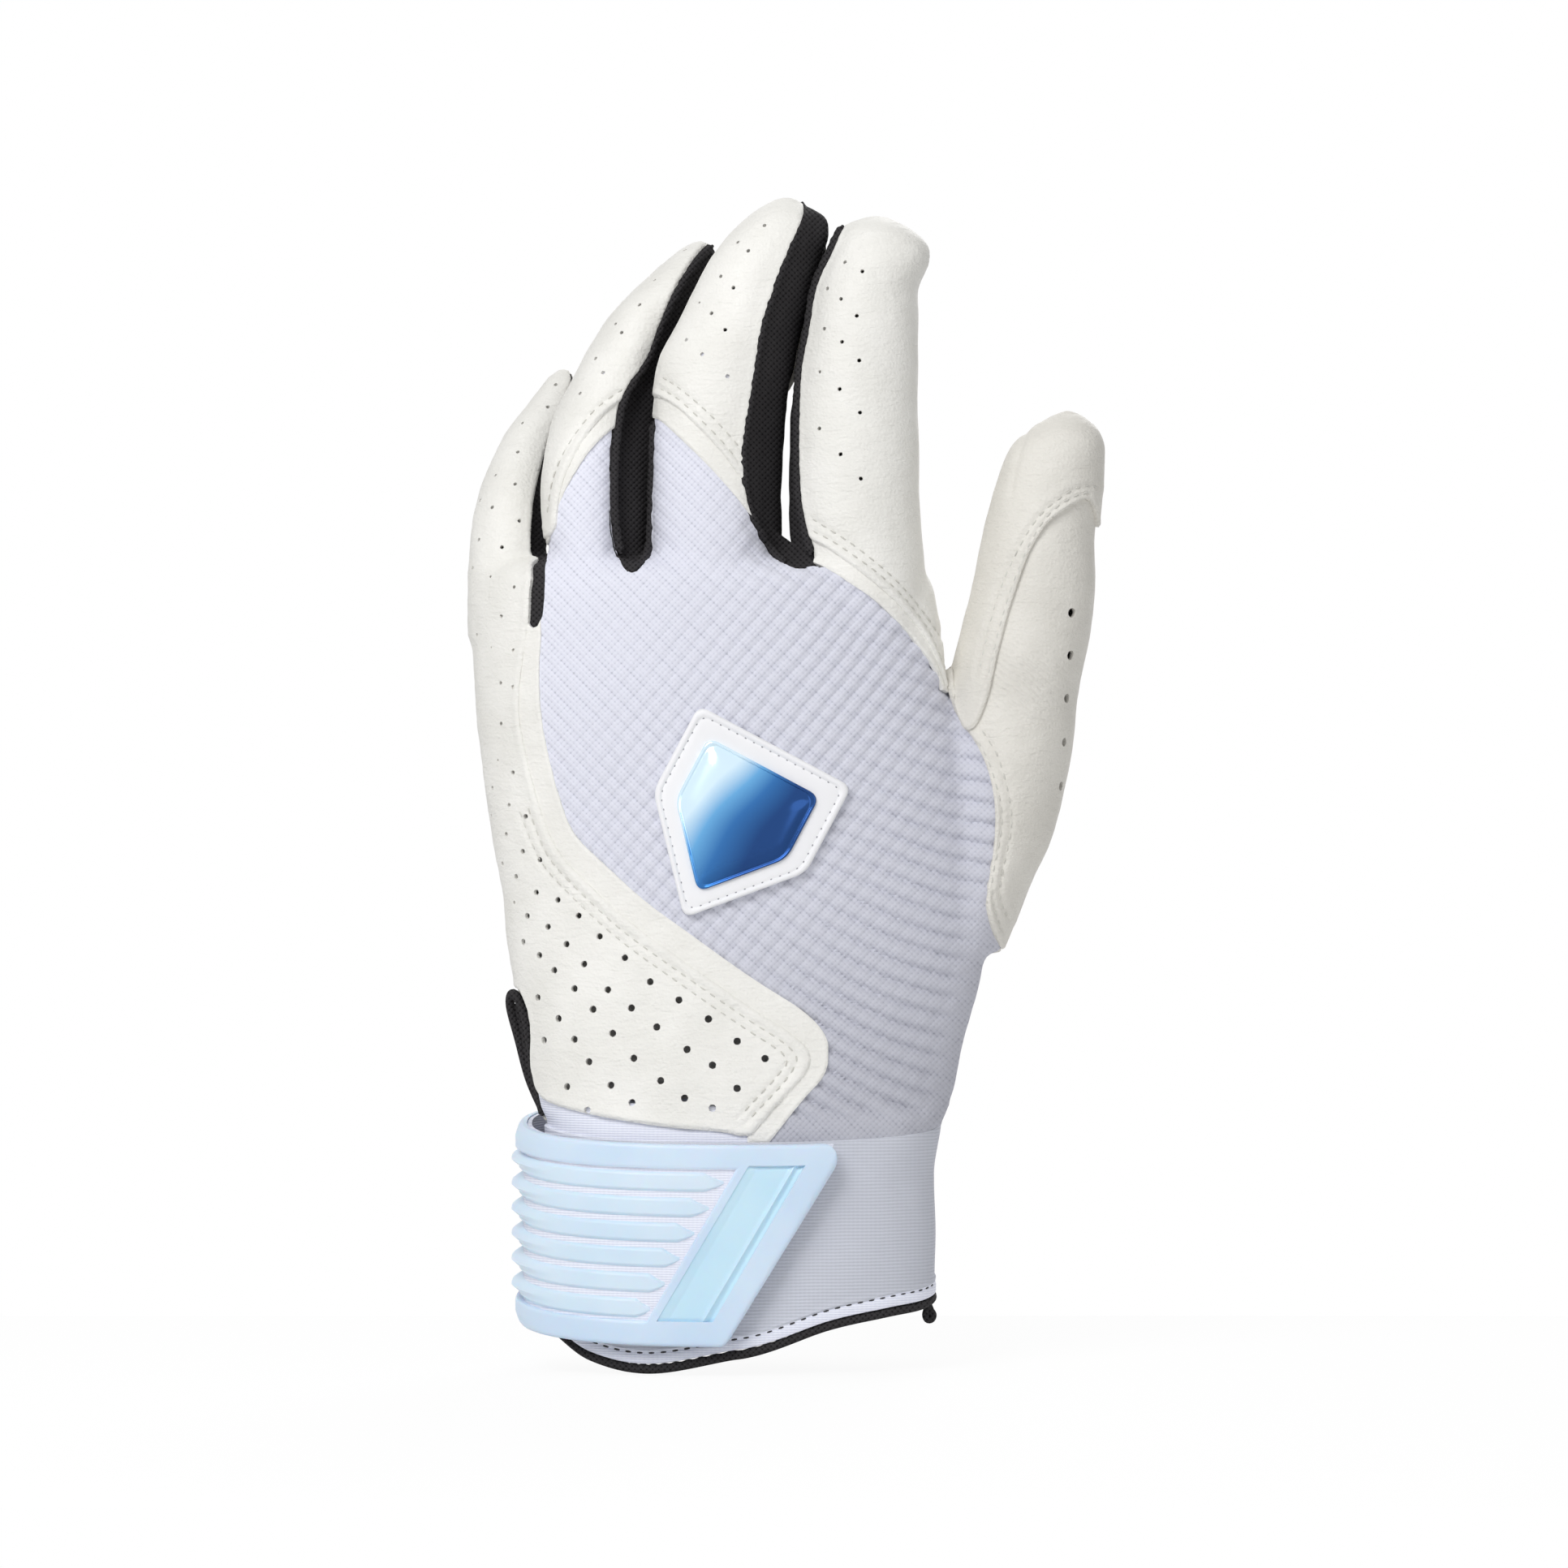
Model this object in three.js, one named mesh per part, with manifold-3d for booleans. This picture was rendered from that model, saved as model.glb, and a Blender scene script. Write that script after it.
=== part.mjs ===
// Left-hand batting glove, filled out as if worn. Millimetres, +Z towards the fingertips,
// the back of the hand faces -Y, the thumb is at +X. The origin is the centre of the wrist opening.
import * as THREE from 'three';
import { mergeVertices } from 'three/addons/utils/BufferGeometryUtils.js';
import Module from 'manifold-3d';

// Driving dimensions
const GLOVE_LENGTH = 240;
const PALM_BREADTH = 98;
const PALM_DEPTH = 34;
const FINGER_BREADTH_SHARE = 0.2653;
const FINGER_BREADTH = PALM_BREADTH * FINGER_BREADTH_SHARE;
const CUFF_HEIGHT_SHARE = 0.2125;
const CUFF_HEIGHT = GLOVE_LENGTH * CUFF_HEIGHT_SHARE;

// Heights of the fingers' and the thumb's hinges and of the thumb's root, as shares of the length
const FINGER_BASE_SHARE = 0.68333;
const THUMB_BASE_SHARE = 0.5729;
const THUMB_ROOT_SHARE = 0.3583;
const TRIM_SPLIT_SHARE = 0.53;
const FINGER_BASE = GLOVE_LENGTH * FINGER_BASE_SHARE;
const THUMB_BASE = GLOVE_LENGTH * THUMB_BASE_SHARE;
const THUMB_ROOT = GLOVE_LENGTH * THUMB_ROOT_SHARE;
const TRIM_SPLIT = GLOVE_LENGTH * TRIM_SPLIT_SHARE;
const CLEARANCE = 0.3;

// Material thicknesses
const LEATHER = 1.2;
const KNIT = 1.2;
const CUFF_KNIT = 2;
const LOOP_PAD = 0.7;
const HOOK_PAD = 0.7;
const STRAP_WEB = 1;
const TAB_BASE = 1.4;
const TAB_RIB = 0.8;
const BADGE_BASE = 1;
const BADGE_FILM = 0.6;
const BINDING = 2.4;

// Badge: size, plain border, place and turn in degrees
const BADGE_SIZE = 22;
const BADGE_BORDER = 4;
const BADGE_X = 1;
const BADGE_HEIGHT_SHARE = 0.4667;
const BADGE_Z = GLOVE_LENGTH * BADGE_HEIGHT_SHARE;
const BADGE_TURN = -28;

// Wrist and strap
const WRIST_DROP = 3.6;
const BINDING_HEIGHT = 2;
const STRAP_LOW_SHARE = 0.19216;
const STRAP_HIGH_SHARE = 0.99216;
const STRAP_LOW = CUFF_HEIGHT * STRAP_LOW_SHARE;
const STRAP_HIGH = CUFF_HEIGHT * STRAP_HIGH_SHARE;
const TAB_BORDER = 5;
const RIB_COUNT = 6;
const RIB_FILL_SHARE = 0.73;
const RIB_PITCH = (STRAP_HIGH - STRAP_LOW - 2 * TAB_BORDER) / RIB_COUNT;
const RIB_HEIGHT = RIB_PITCH * RIB_FILL_SHARE;
const PAD_MARGIN = 3;
const TAB_RIGHT = 21.5;
const TAB_RIGHT_HEIGHT_SHARE = 0.843;
const TAB_RIGHT_HEIGHT = CUFF_HEIGHT * TAB_RIGHT_HEIGHT_SHARE;
const TAB_SLANT = 0.595;
const PLATE_OFFSET = 6;
const PLATE_WIDTH = 11.5;
const WINDOW_OFFSET = 19.7;
const SLIT_RISE = 26;
const SLIT_TOP = CUFF_HEIGHT + SLIT_RISE;
const SLIT_WIDTH = 7;
const TAG = 3;
const TAG_TURN = 8;

// Turns round the wrist in degrees, from the thumb side over the back
const STRAP_TIP_TURN = 52.5;
const PAD_LEFT_TURN = 150;
const WINDOW_LEFT_TURN = 195;
const TAB_LEFT_TURN = 202.5;
const STRAP_ROOT_TURN = 232.5;
const ANCHOR_END_TURN = 262.5;
const ANCHOR_GAP_TURN = 1.7;
const CUFF_SPLIT_TURN = 7.2;
const SIDE_SEAM_TURN = 0.35;
const BADGE_FROM_TURN = 40;
const BADGE_TO_TURN = 140;

// Shapes of the tubes
const HAND_SQUARENESS = 2.4;
const ULNAR_ARCH = 9;
const RADIAL_ARCH = 3;
const HAND_STEPS = 48;
const FINGER_STEPS = 24;
const LOOP_STEPS = 20;
const ROUND_STEPS = 4;
const TAG_STEPS = 10;
const OVERRUN = 40;
const ROW_MARGIN = 1;
const WEB_DEPTH = 8;
const SEAM_MARGIN = 0.0144;
const WELD = 1e-4;
const SHOULDER_SHARE = 0.8;

// Cross-sections of the hand: height as a share of the length, centre and half breadth as shares
// of the palm breadth, centre and half depth as shares of the palm depth.
const hand_section_shares = [
  [0, 0.018, 0.41, 0, 0.575],
  [0.2126, 0.018, 0.41, 0, 0.575],
  [0.228, 0.028, 0.434, 0.01, 0.56],
  [0.275, 0.033, 0.457, 0.03, 0.55],
  [0.3375, 0.037, 0.493, 0.045, 0.54],
  [0.4, 0.037, 0.514, 0.055, 0.53],
  [0.4625, 0.019, 0.521, 0.06, 0.53],
  [0.525, -0.009, 0.514, 0.05, 0.515],
  [0.575, -0.038, 0.497, 0.04, 0.5],
  [0.63, -0.053, 0.491, 0.02, 0.46],
  [0.6875, -0.071, 0.483, 0, 0.41],
];

// Cross-sections of the digits: height as a share of the length, then centre across, half breadth,
// centre in depth and half depth as shares of the finger breadth.
const digit_section_shares = {
  index: [
    [0.6833, 1.008, 0.515, 0.04, 0.465], [0.754, 0.973, 0.51, 0.04, 0.45],
    [0.817, 0.977, 0.495, 0.05, 0.435], [0.879, 1.02, 0.455, 0.06, 0.41],
    [0.921, 1.066, 0.42, 0.08, 0.385], [0.942, 1.125, 0.405, 0.09, 0.365],
    [0.9625, 1.165, 0.355, 0.11, 0.325], [0.976, 1.148, 0.235, 0.12, 0.23],
    [0.9842, 1.15, 0.05, 0.125, 0.05],
  ],
  middle: [
    [0.6833, -0.135, 0.5, 0, 0.475], [0.754, -0.13, 0.495, 0, 0.465],
    [0.808, -0.11, 0.5, 0, 0.455], [0.858, -0.045, 0.51, 0, 0.44],
    [0.9, 0.095, 0.46, 0.02, 0.42], [0.942, 0.245, 0.42, 0.04, 0.39],
    [0.967, 0.35, 0.36, 0.06, 0.34], [0.9855, 0.425, 0.26, 0.08, 0.25],
    [1, 0.45, 0.05, 0.09, 0.05],
  ],
  ring: [
    [0.6833, -1.115, 0.32, 0.08, 0.4], [0.754, -1.145, 0.34, 0.16, 0.4],
    [0.804, -1.085, 0.33, 0.28, 0.385], [0.858, -0.89, 0.305, 0.42, 0.37],
    [0.9, -0.675, 0.295, 0.52, 0.35], [0.921, -0.53, 0.275, 0.55, 0.33],
    [0.942, -0.385, 0.215, 0.59, 0.27], [0.958, -0.275, 0.14, 0.61, 0.17],
    [0.9675, -0.225, 0.05, 0.615, 0.05],
  ],
  little: [
    [0.6833, -1.78, 0.3, 0.36, 0.34], [0.733, -1.755, 0.285, 0.5, 0.33],
    [0.775, -1.67, 0.25, 0.7, 0.31], [0.806, -1.57, 0.22, 0.86, 0.28],
    [0.833, -1.43, 0.165, 0.97, 0.21], [0.85, -1.365, 0.12, 1.01, 0.14],
    [0.8605, -1.335, 0.05, 1.02, 0.05],
  ],
  thumb: [
    [0.35, 1.77, 0.36, 0.23, 0.5], [0.4, 1.87, 0.46, 0.27, 0.56],
    [0.4625, 2.04, 0.54, 0.31, 0.58], [0.525, 2.17, 0.54, 0.31, 0.56],
    [0.573, 2.24, 0.515, 0.29, 0.52], [0.63, 2.36, 0.5, 0.27, 0.48],
    [0.67, 2.425, 0.47, 0.25, 0.455], [0.7125, 2.46, 0.425, 0.23, 0.43],
    [0.754, 2.53, 0.395, 0.21, 0.39], [0.785, 2.59, 0.345, 0.2, 0.34],
    [0.804, 2.65, 0.21, 0.19, 0.215], [0.8146, 2.665, 0.05, 0.19, 0.05],
  ],
};

// Angles at which each digit's tube is cut into its pieces, in degrees
const digit_sector_degrees = {
  index: { back: [-25, 147], gusset: [147, 205], front: [205, 335] },
  middle: { back: [62, 185], outer_gusset: [185, 225], front: [225, 325], inner_gusset: [325, 422] },
  ring: { back: [62, 185], outer_gusset: [185, 225], front: [225, 325], inner_gusset: [325, 422] },
  little: { back: [50, 200], front: [200, 320], gusset: [320, 410] },
  thumb: { back: [-30, 200], front: [200, 330] },
};

// Height of the cuff's hem round the wrist, as shares of the cuff height, from the thumb side
// over the back of the hand and round the palm side.
const hem_height_shares = [
  0.31, 0.3, 0.286, 0.25, 0.165, 0.108, 0.18, 0.188, 0.188, 0.188, 0.188, 0.188, 0.188, 0.2, 0.23, 0.28,
];

// Outlines on the back of the hand: across as a share of the palm breadth, up as a share of the length
const mesh_outline_shares = [
  [-0.35, 0.7], [-0.403, 0.66], [-0.403, 0.631], [-0.412, 0.597], [-0.407, 0.556], [-0.389, 0.519],
  [-0.364, 0.482], [-0.337, 0.453], [-0.272, 0.429], [-0.187, 0.397], [-0.09, 0.369], [0.007, 0.341],
  [0.073, 0.323], [0.138, 0.307], [0.177, 0.293], [0.196, 0.28], [0.196, 0.267], [0.187, 0.253],
  [0.145, 0.236], [0.075, 0.201], [0.075, 0.1], [0.7, 0.1], [0.7, 0.578], [0.45, 0.578],
  [0.425, 0.593], [0.4, 0.606], [0.381, 0.624], [0.35, 0.6375], [0.314, 0.652], [0.283, 0.662],
  [0.25, 0.67], [0.2, 0.7],
];
const flap_outline_shares = [
  [-0.44, 0.7], [-0.43, 0.66], [-0.435, 0.631], [-0.447, 0.597], [-0.444, 0.553], [-0.425, 0.512],
  [-0.398, 0.47], [-0.366, 0.437], [-0.29, 0.407], [-0.205, 0.375], [-0.107, 0.347], [-0.01, 0.32],
  [0.057, 0.301], [0.11, 0.29], [0.15, 0.276], [0.16, 0.266], [0.15, 0.252], [0.1, 0.234], [0.034, 0.2],
  [0.034, 0.1], [-0.7, 0.1], [-0.7, 0.7],
];
const index_root_outline_shares = [
  [0.22, 0.7], [0.255, 0.68], [0.303, 0.6675], [0.347, 0.652], [0.385, 0.637], [0.416, 0.618],
  [0.438, 0.597], [0.7, 0.597], [0.7, 0.7],
];

const ring_mesh_outline_shares = [
  [-0.39, 0.6], [-0.383, 0.716], [-0.37, 0.735], [-0.332, 0.762], [-0.286, 0.789], [-0.24, 0.804],
  [-0.2, 0.81], [-0.1, 0.81], [-0.1, 0.6],
];
const middle_mesh_outline_shares = [
  [-0.3, 0.6], [-0.3, 0.83], [-0.16, 0.815], [-0.11, 0.796], [-0.053, 0.773], [-0.014, 0.756],
  [0.032, 0.736], [0.06, 0.72], [0.1, 0.7], [0.3, 0.69], [0.3, 0.6],
];
const thumb_lower_outline_shares = [
  [0.9, 0.742], [0.74, 0.742], [0.691, 0.732], [0.651, 0.715], [0.622, 0.696], [0.604, 0.673],
  [0.578, 0.64], [0.554, 0.601], [0.542, 0.575], [0.5, 0.55], [0.9, 0.55],
];

// Webs between the fingers across the palm, and the badge's outline in its own size
const web_place_shares = { web_ring_little: -0.395, web_middle_ring: -0.19, web_index_middle: 0.116 };
const badge_outline_shares = [[-0.8, 0.8], [0.8, 0.8], [0.8, -0.1], [0, -1], [-0.8, -0.1]];

const wasm = await Module();
wasm.setup();

const degrees = (angle) => (angle * Math.PI) / 180;

function materialOf(colour, roughness) {
  return new THREE.MeshStandardMaterial({ color: colour, roughness });
}
const leather = materialOf(0xf3f1ea, 0.6);
const shadedLeather = materialOf(0xdedcd5, 0.6);
const palmLeather = materialOf(0xefece4, 0.7);
const knit = materialOf(0xdcdeea, 0.85);
const blackKnit = materialOf(0x242326, 0.9);
const cuffKnit = materialOf(0xc4c8d4, 0.85);
const strapWebbing = materialOf(0xe4e8f5, 0.7);
const tabRubber = materialOf(0xd3e7f6, 0.4);
const plateRubber = materialOf(0xbee0f6, 0.35);
const badgeFilm = materialOf(0x3f72ad, 0.2);

const glove = new THREE.Group();

function toSolid(geometry) {
  const bare = geometry.clone();
  bare.deleteAttribute('normal');
  bare.deleteAttribute('uv');
  const merged = mergeVertices(bare, WELD);
  const triVerts = new Uint32Array(merged.index.array);
  const vertProperties = new Float32Array(merged.attributes.position.array);
  return new wasm.Manifold(new wasm.Mesh({ numProp: 3, vertProperties, triVerts }));
}

function toGeometry(solid) {
  const mesh = solid.getMesh();
  const geometry = new THREE.BufferGeometry();
  geometry.setAttribute('position', new THREE.BufferAttribute(new Float32Array(mesh.vertProperties), 3));
  geometry.setIndex(new THREE.BufferAttribute(new Uint32Array(mesh.triVerts), 1));
  geometry.computeVertexNormals();
  return geometry;
}

function addPiece(name, solid, material) {
  const mesh = new THREE.Mesh(toGeometry(solid), material);
  mesh.name = name;
  glove.add(mesh);
}

// Value of each column of a table at a height, on a smooth curve through its rows
function sectionAt(rows, height) {
  let i = 0;
  while (i < rows.length - 2 && height > rows[i + 1][0]) i += 1;
  const span = rows[i + 1][0] - rows[i][0];
  const t = Math.min(Math.max((height - rows[i][0]) / span, 0), 1);
  return rows[i].map((value, column) => value + (rows[i + 1][column] - value) * t);
}

function hemHeight(angle) {
  const turn = (angle / (2 * Math.PI)) * hem_height_shares.length;
  const low = Math.floor(turn);
  const count = hem_height_shares.length;
  const here = hem_height_shares[((low % count) + count) % count];
  const next = hem_height_shares[(((low + 1) % count) + count) % count];
  return (here + (next - here) * (turn - low)) * CUFF_HEIGHT;
}

// A point of the hand's surface. The angle runs from the thumb side over the back of the hand.
function handPoint(angle, height, inset) {
  const [, cx, a, cy, b] = sectionAt(hand_section_shares, height / GLOVE_LENGTH);
  const round = 2 / HAND_SQUARENESS;
  const across = Math.sign(Math.cos(angle)) * Math.abs(Math.cos(angle)) ** round;
  const deep = -Math.sign(Math.sin(angle)) * Math.abs(Math.sin(angle)) ** round;
  const rise = Math.min(Math.max((height - CUFF_HEIGHT) / (FINGER_BASE - CUFF_HEIGHT), 0), 1);
  const arch = (across < 0 ? ULNAR_ARCH : RADIAL_ARCH) * across * across * rise;
  const x = cx * PALM_BREADTH + across * (a * PALM_BREADTH - inset);
  const depth = b * PALM_DEPTH - inset;
  const y = cy * PALM_DEPTH + deep * depth + arch;
  const tilt = WRIST_DROP * (deep * depth / (b * PALM_DEPTH)) * (1 - rise);
  return new THREE.Vector3(x, y, height + tilt);
}

// A point of a digit's surface; its angle also runs from the thumb side over the back.
function digitPoint(name, angle, height, inset) {
  const rows = digit_section_shares[name];
  const tip = rows[rows.length - 1][0] * GLOVE_LENGTH;
  const above = height - (name === 'thumb' ? THUMB_BASE : FINGER_BASE);
  const lowered = inset > 0 && above > 0 ? height - (above * inset) / (tip - height + above) : height;
  const [, cx, a, cy, b] = sectionAt(rows, height / GLOVE_LENGTH);
  const wide = Math.max(a * FINGER_BREADTH - inset, CLEARANCE);
  const thick = Math.max(b * FINGER_BREADTH - inset, CLEARANCE);
  const x = cx * FINGER_BREADTH + Math.cos(angle) * wide;
  const y = cy * FINGER_BREADTH - Math.sin(angle) * thick;
  return new THREE.Vector3(x, y, lowered);
}

function heightsOf(name, low) {
  const rows = digit_section_shares[name];
  const above = rows.map((row) => row[0] * GLOVE_LENGTH).filter((height) => height > low + ROW_MARGIN);
  return [low, ...above];
}

// A closed geometry from a grid of outer points and the matching grid of inner points
function closedShell(outer, inner) {
  const rows = outer.length;
  const columns = outer[0].length;
  const points = [];
  const index = [];
  for (const row of [...outer, ...inner]) {
    for (const p of row) points.push(p.x, p.y, p.z);
  }
  const at = (layer, row, column) => layer * rows * columns + row * columns + column;
  const quad = (a, b, c, d) => index.push(a, b, c, a, c, d);
  for (let r = 0; r < rows - 1; r += 1) {
    for (let c = 0; c < columns - 1; c += 1) {
      quad(at(0, r, c), at(0, r + 1, c), at(0, r + 1, c + 1), at(0, r, c + 1));
      quad(at(1, r, c), at(1, r, c + 1), at(1, r + 1, c + 1), at(1, r + 1, c));
    }
    quad(at(0, r, 0), at(1, r, 0), at(1, r + 1, 0), at(0, r + 1, 0));
    quad(at(0, r + 1, columns - 1), at(1, r + 1, columns - 1), at(1, r, columns - 1), at(0, r, columns - 1));
  }
  for (let c = 0; c < columns - 1; c += 1) {
    quad(at(0, 0, c + 1), at(1, 0, c + 1), at(1, 0, c), at(0, 0, c));
    quad(at(0, rows - 1, c), at(1, rows - 1, c), at(1, rows - 1, c + 1), at(0, rows - 1, c + 1));
  }
  const geometry = new THREE.BufferGeometry();
  geometry.setAttribute('position', new THREE.Float32BufferAttribute(points, 3));
  geometry.setIndex(index);
  return geometry;
}

// A shell between two insets of a surface, over a range of angles and a list of heights
function shell(surface, from, to, heights, outside, inside, steps) {
  const count = Math.max(Math.round((steps * (to - from)) / (2 * Math.PI)), 2);
  const angles = Array.from({ length: count + 1 }, (_, i) => from + ((to - from) * i) / count);
  const grid = (inset) => heights.map((height) => angles.map((angle) => surface(angle, height, inset)));
  const geometry = closedShell(grid(outside), grid(inside));
  const solid = toSolid(geometry);
  return solid.volume() < 0 ? toSolid(turnedOut(geometry)) : solid;
}

function turnedOut(geometry) {
  const turned = geometry.clone();
  const index = turned.index.array;
  for (let i = 0; i < index.length; i += 3) [index[i + 1], index[i + 2]] = [index[i + 2], index[i + 1]];
  return turned;
}

// A full solid inside a surface
function solidInside(surface, heights, inset, steps) {
  const rows = heights.map((height) => Array.from(
    { length: steps }, (_, i) => surface((2 * Math.PI * i) / steps, height, inset)));
  const points = [];
  const index = [];
  for (const p of rows.flat()) points.push(p.x, p.y, p.z);
  const last = rows.length - 1;
  for (let r = 0; r < last; r += 1) {
    for (let c = 0; c < steps; c += 1) {
      const next = (c + 1) % steps;
      const [a, b, d, e] = [r * steps + c, r * steps + next, (r + 1) * steps + c, (r + 1) * steps + next];
      index.push(a, d, e, a, e, b);
    }
  }
  for (const [row, flip] of [[0, false], [last, true]]) {
    const centre = new THREE.Vector3();
    for (const p of rows[row]) centre.addScaledVector(p, 1 / steps);
    const hub = points.length / 3;
    points.push(centre.x, centre.y, centre.z);
    for (let c = 0; c < steps; c += 1) {
      const [a, b] = [row * steps + c, row * steps + ((c + 1) % steps)];
      index.push(...(flip ? [hub, b, a] : [hub, a, b]));
    }
  }
  const geometry = new THREE.BufferGeometry();
  geometry.setAttribute('position', new THREE.Float32BufferAttribute(points, 3));
  geometry.setIndex(index);
  const solid = toSolid(geometry);
  return solid.volume() < 0 ? toSolid(turnedOut(geometry)) : solid;
}

// A prism along Y with an outline in the X-Z plane
function prism(outline, nearY, farY) {
  const shape = new THREE.Shape(outline.map(([x, z]) => new THREE.Vector2(x, z)));
  const geometry = new THREE.ExtrudeGeometry(shape, { depth: farY - nearY, bevelEnabled: false });
  geometry.rotateX(Math.PI / 2);
  geometry.translate(0, farY, 0);
  return toSolid(geometry);
}

function block(lowX, highX, lowY, highY, lowZ, highZ) {
  const geometry = new THREE.BoxGeometry(highX - lowX, highY - lowY, highZ - lowZ);
  geometry.translate((lowX + highX) / 2, (lowY + highY) / 2, (lowZ + highZ) / 2);
  return toSolid(geometry);
}

const sized = (shares) => shares.map(([x, z]) => [x * PALM_BREADTH, z * GLOVE_LENGTH]);
const range = (low, high, count) => Array.from({ length: count + 1 }, (_, i) => low + ((high - low) * i) / count);

const shifted = (outline, across) => outline.map(([x, z]) => [x + across, z]);
const HALF_GAP = CLEARANCE / 2;

// Hand: back and palm halves of one hollow tube, cut along the side seams
const handHeights = [CUFF_HEIGHT + HALF_GAP, ...hand_section_shares
  .map((row) => row[0] * GLOVE_LENGTH).filter((height) => height > CUFF_HEIGHT + ROW_MARGIN)];
handHeights[handHeights.length - 1] = FINGER_BASE - HALF_GAP;
const SEAM_ANGLE = degrees(SIDE_SEAM_TURN);
const handOutside = solidInside(handPoint, handHeights, -CLEARANCE, HAND_STEPS);
const thumbPoint = (angle, height, inset) => digitPoint('thumb', angle, height, inset);
const thumbRootHeights = [
  ...heightsOf('thumb', THUMB_ROOT).filter((height) => height < THUMB_BASE), THUMB_BASE - HALF_GAP];
const thumbTunnel = solidInside(thumbPoint, thumbRootHeights, 2 * LEATHER, FINGER_STEPS);
const ulnarEdge = handPoint(Math.PI, SLIT_TOP, 0);
const slitMiddle = ulnarEdge.y;
const slit = block(ulnarEdge.x - OVERRUN, ulnarEdge.x + OVERRUN / 2, slitMiddle - SLIT_WIDTH / 2,
  slitMiddle + SLIT_WIDTH / 2, 0, SLIT_TOP);

const back = shell(handPoint, SEAM_ANGLE, Math.PI - SEAM_ANGLE, handHeights, 0, LEATHER, HAND_STEPS)
  .subtract(thumbTunnel).subtract(slit);
const palm = shell(handPoint, Math.PI + SEAM_ANGLE, 2 * Math.PI - SEAM_ANGLE, handHeights, 0, LEATHER, HAND_STEPS)
  .subtract(thumbTunnel).subtract(slit);

const meshOutline = sized(mesh_outline_shares);
const flapOutline = sized(flap_outline_shares);
const rootOutline = sized(index_root_outline_shares);
const frontPrism = (outline) => prism(outline, -2 * OVERRUN, 2 * OVERRUN);
const CUT = 2 * CLEARANCE;
addPiece('palm_hide', palm, palmLeather);
addPiece('ulnar_flap', back.intersect(frontPrism(flapOutline)), leather);
addPiece('index_root', back.intersect(frontPrism(rootOutline)), leather);
const meshArea = frontPrism(meshOutline);
addPiece('back_mesh', back.intersect(meshArea), knit);
const trims = back.subtract(frontPrism(shifted(flapOutline, CUT))).subtract(frontPrism(shifted(meshOutline, -CUT)))
  .subtract(frontPrism(shifted(meshOutline, CUT))).subtract(frontPrism(shifted(rootOutline, -CUT)));
const trimSplit = block(0, 2 * PALM_BREADTH, -PALM_BREADTH, PALM_BREADTH, TRIM_SPLIT, GLOVE_LENGTH);
addPiece('ulnar_trim', trims.subtract(trimSplit), leather);
addPiece('knuckle_trim', trims.intersect(trimSplit), leather);

// Root of the thumb, seated on the side of the hand
const thumbRoot = solidInside(thumbPoint, thumbRootHeights, 0, FINGER_STEPS)
  .subtract(solidInside(thumbPoint, thumbRootHeights, LEATHER, FINGER_STEPS))
  .subtract(handOutside);
const thumbSeam = digit_section_shares.thumb[2][3] * FINGER_BREADTH;
const thumbSide = (low, high) => block(0, 2 * PALM_BREADTH, low, high, 0, GLOVE_LENGTH);
addPiece('thumb_root_back', thumbRoot.intersect(thumbSide(-PALM_BREADTH, thumbSeam - HALF_GAP)), shadedLeather);
addPiece('thumb_root_front', thumbRoot.intersect(thumbSide(thumbSeam + HALF_GAP, PALM_BREADTH)), palmLeather);

// Digits: each a back, a front and the gussets between, as sectors of one tube
function digitSector(name, [from, to]) {
  const low = name === 'thumb' ? THUMB_BASE : FINGER_BASE;
  const surface = (angle, height, inset) => digitPoint(name, angle, height, inset);
  const margin = SEAM_MARGIN;
  return shell(surface, degrees(from) + margin, degrees(to) - margin, heightsOf(name, low + HALF_GAP),
    0, LEATHER, FINGER_STEPS);
}
const ringMeshTop = frontPrism(sized(ring_mesh_outline_shares));
const middleMeshTop = frontPrism(sized(middle_mesh_outline_shares));
const fingerMesh = {
  ring: [ringMeshTop, ring_mesh_outline_shares],
  middle: [middleMeshTop, middle_mesh_outline_shares],
};
for (const [name, sectors] of Object.entries(digit_sector_degrees)) {
  for (const [part, sector] of Object.entries(sectors)) {
    const solid = digitSector(name, sector);
    const material = part.endsWith('gusset') ? blackKnit : part === 'front' ? palmLeather : leather;
    if (name === 'thumb' && part === 'back') {
      const lower = sized(thumb_lower_outline_shares);
      addPiece('thumb_lower', solid.intersect(frontPrism(lower)), shadedLeather);
      addPiece('thumb_tip', solid.subtract(frontPrism(shifted(lower, -CUT))), shadedLeather);
    } else if (fingerMesh[name] && part === 'back') {
      const [area, shares] = fingerMesh[name];
      addPiece(`${name}_mesh`, solid.intersect(area), knit);
      const raised = sized(shares).map(([x, z]) => [x, z + CUT]);
      addPiece(`${name}_back`, solid.subtract(frontPrism(raised)), material);
    } else {
      addPiece(`${name}_${part}`, solid, material);
    }
  }
}

// Webs between the fingers, inside the mouth of the hand
const handInside = solidInside(handPoint, handHeights, LEATHER + CLEARANCE, HAND_STEPS);
for (const [name, share] of Object.entries(web_place_shares)) {
  const x = share * PALM_BREADTH;
  const slab = block(x - KNIT, x + KNIT, -PALM_BREADTH, PALM_BREADTH, FINGER_BASE - WEB_DEPTH, FINGER_BASE);
  addPiece(name, slab.intersect(handInside), blackKnit);
}

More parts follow.
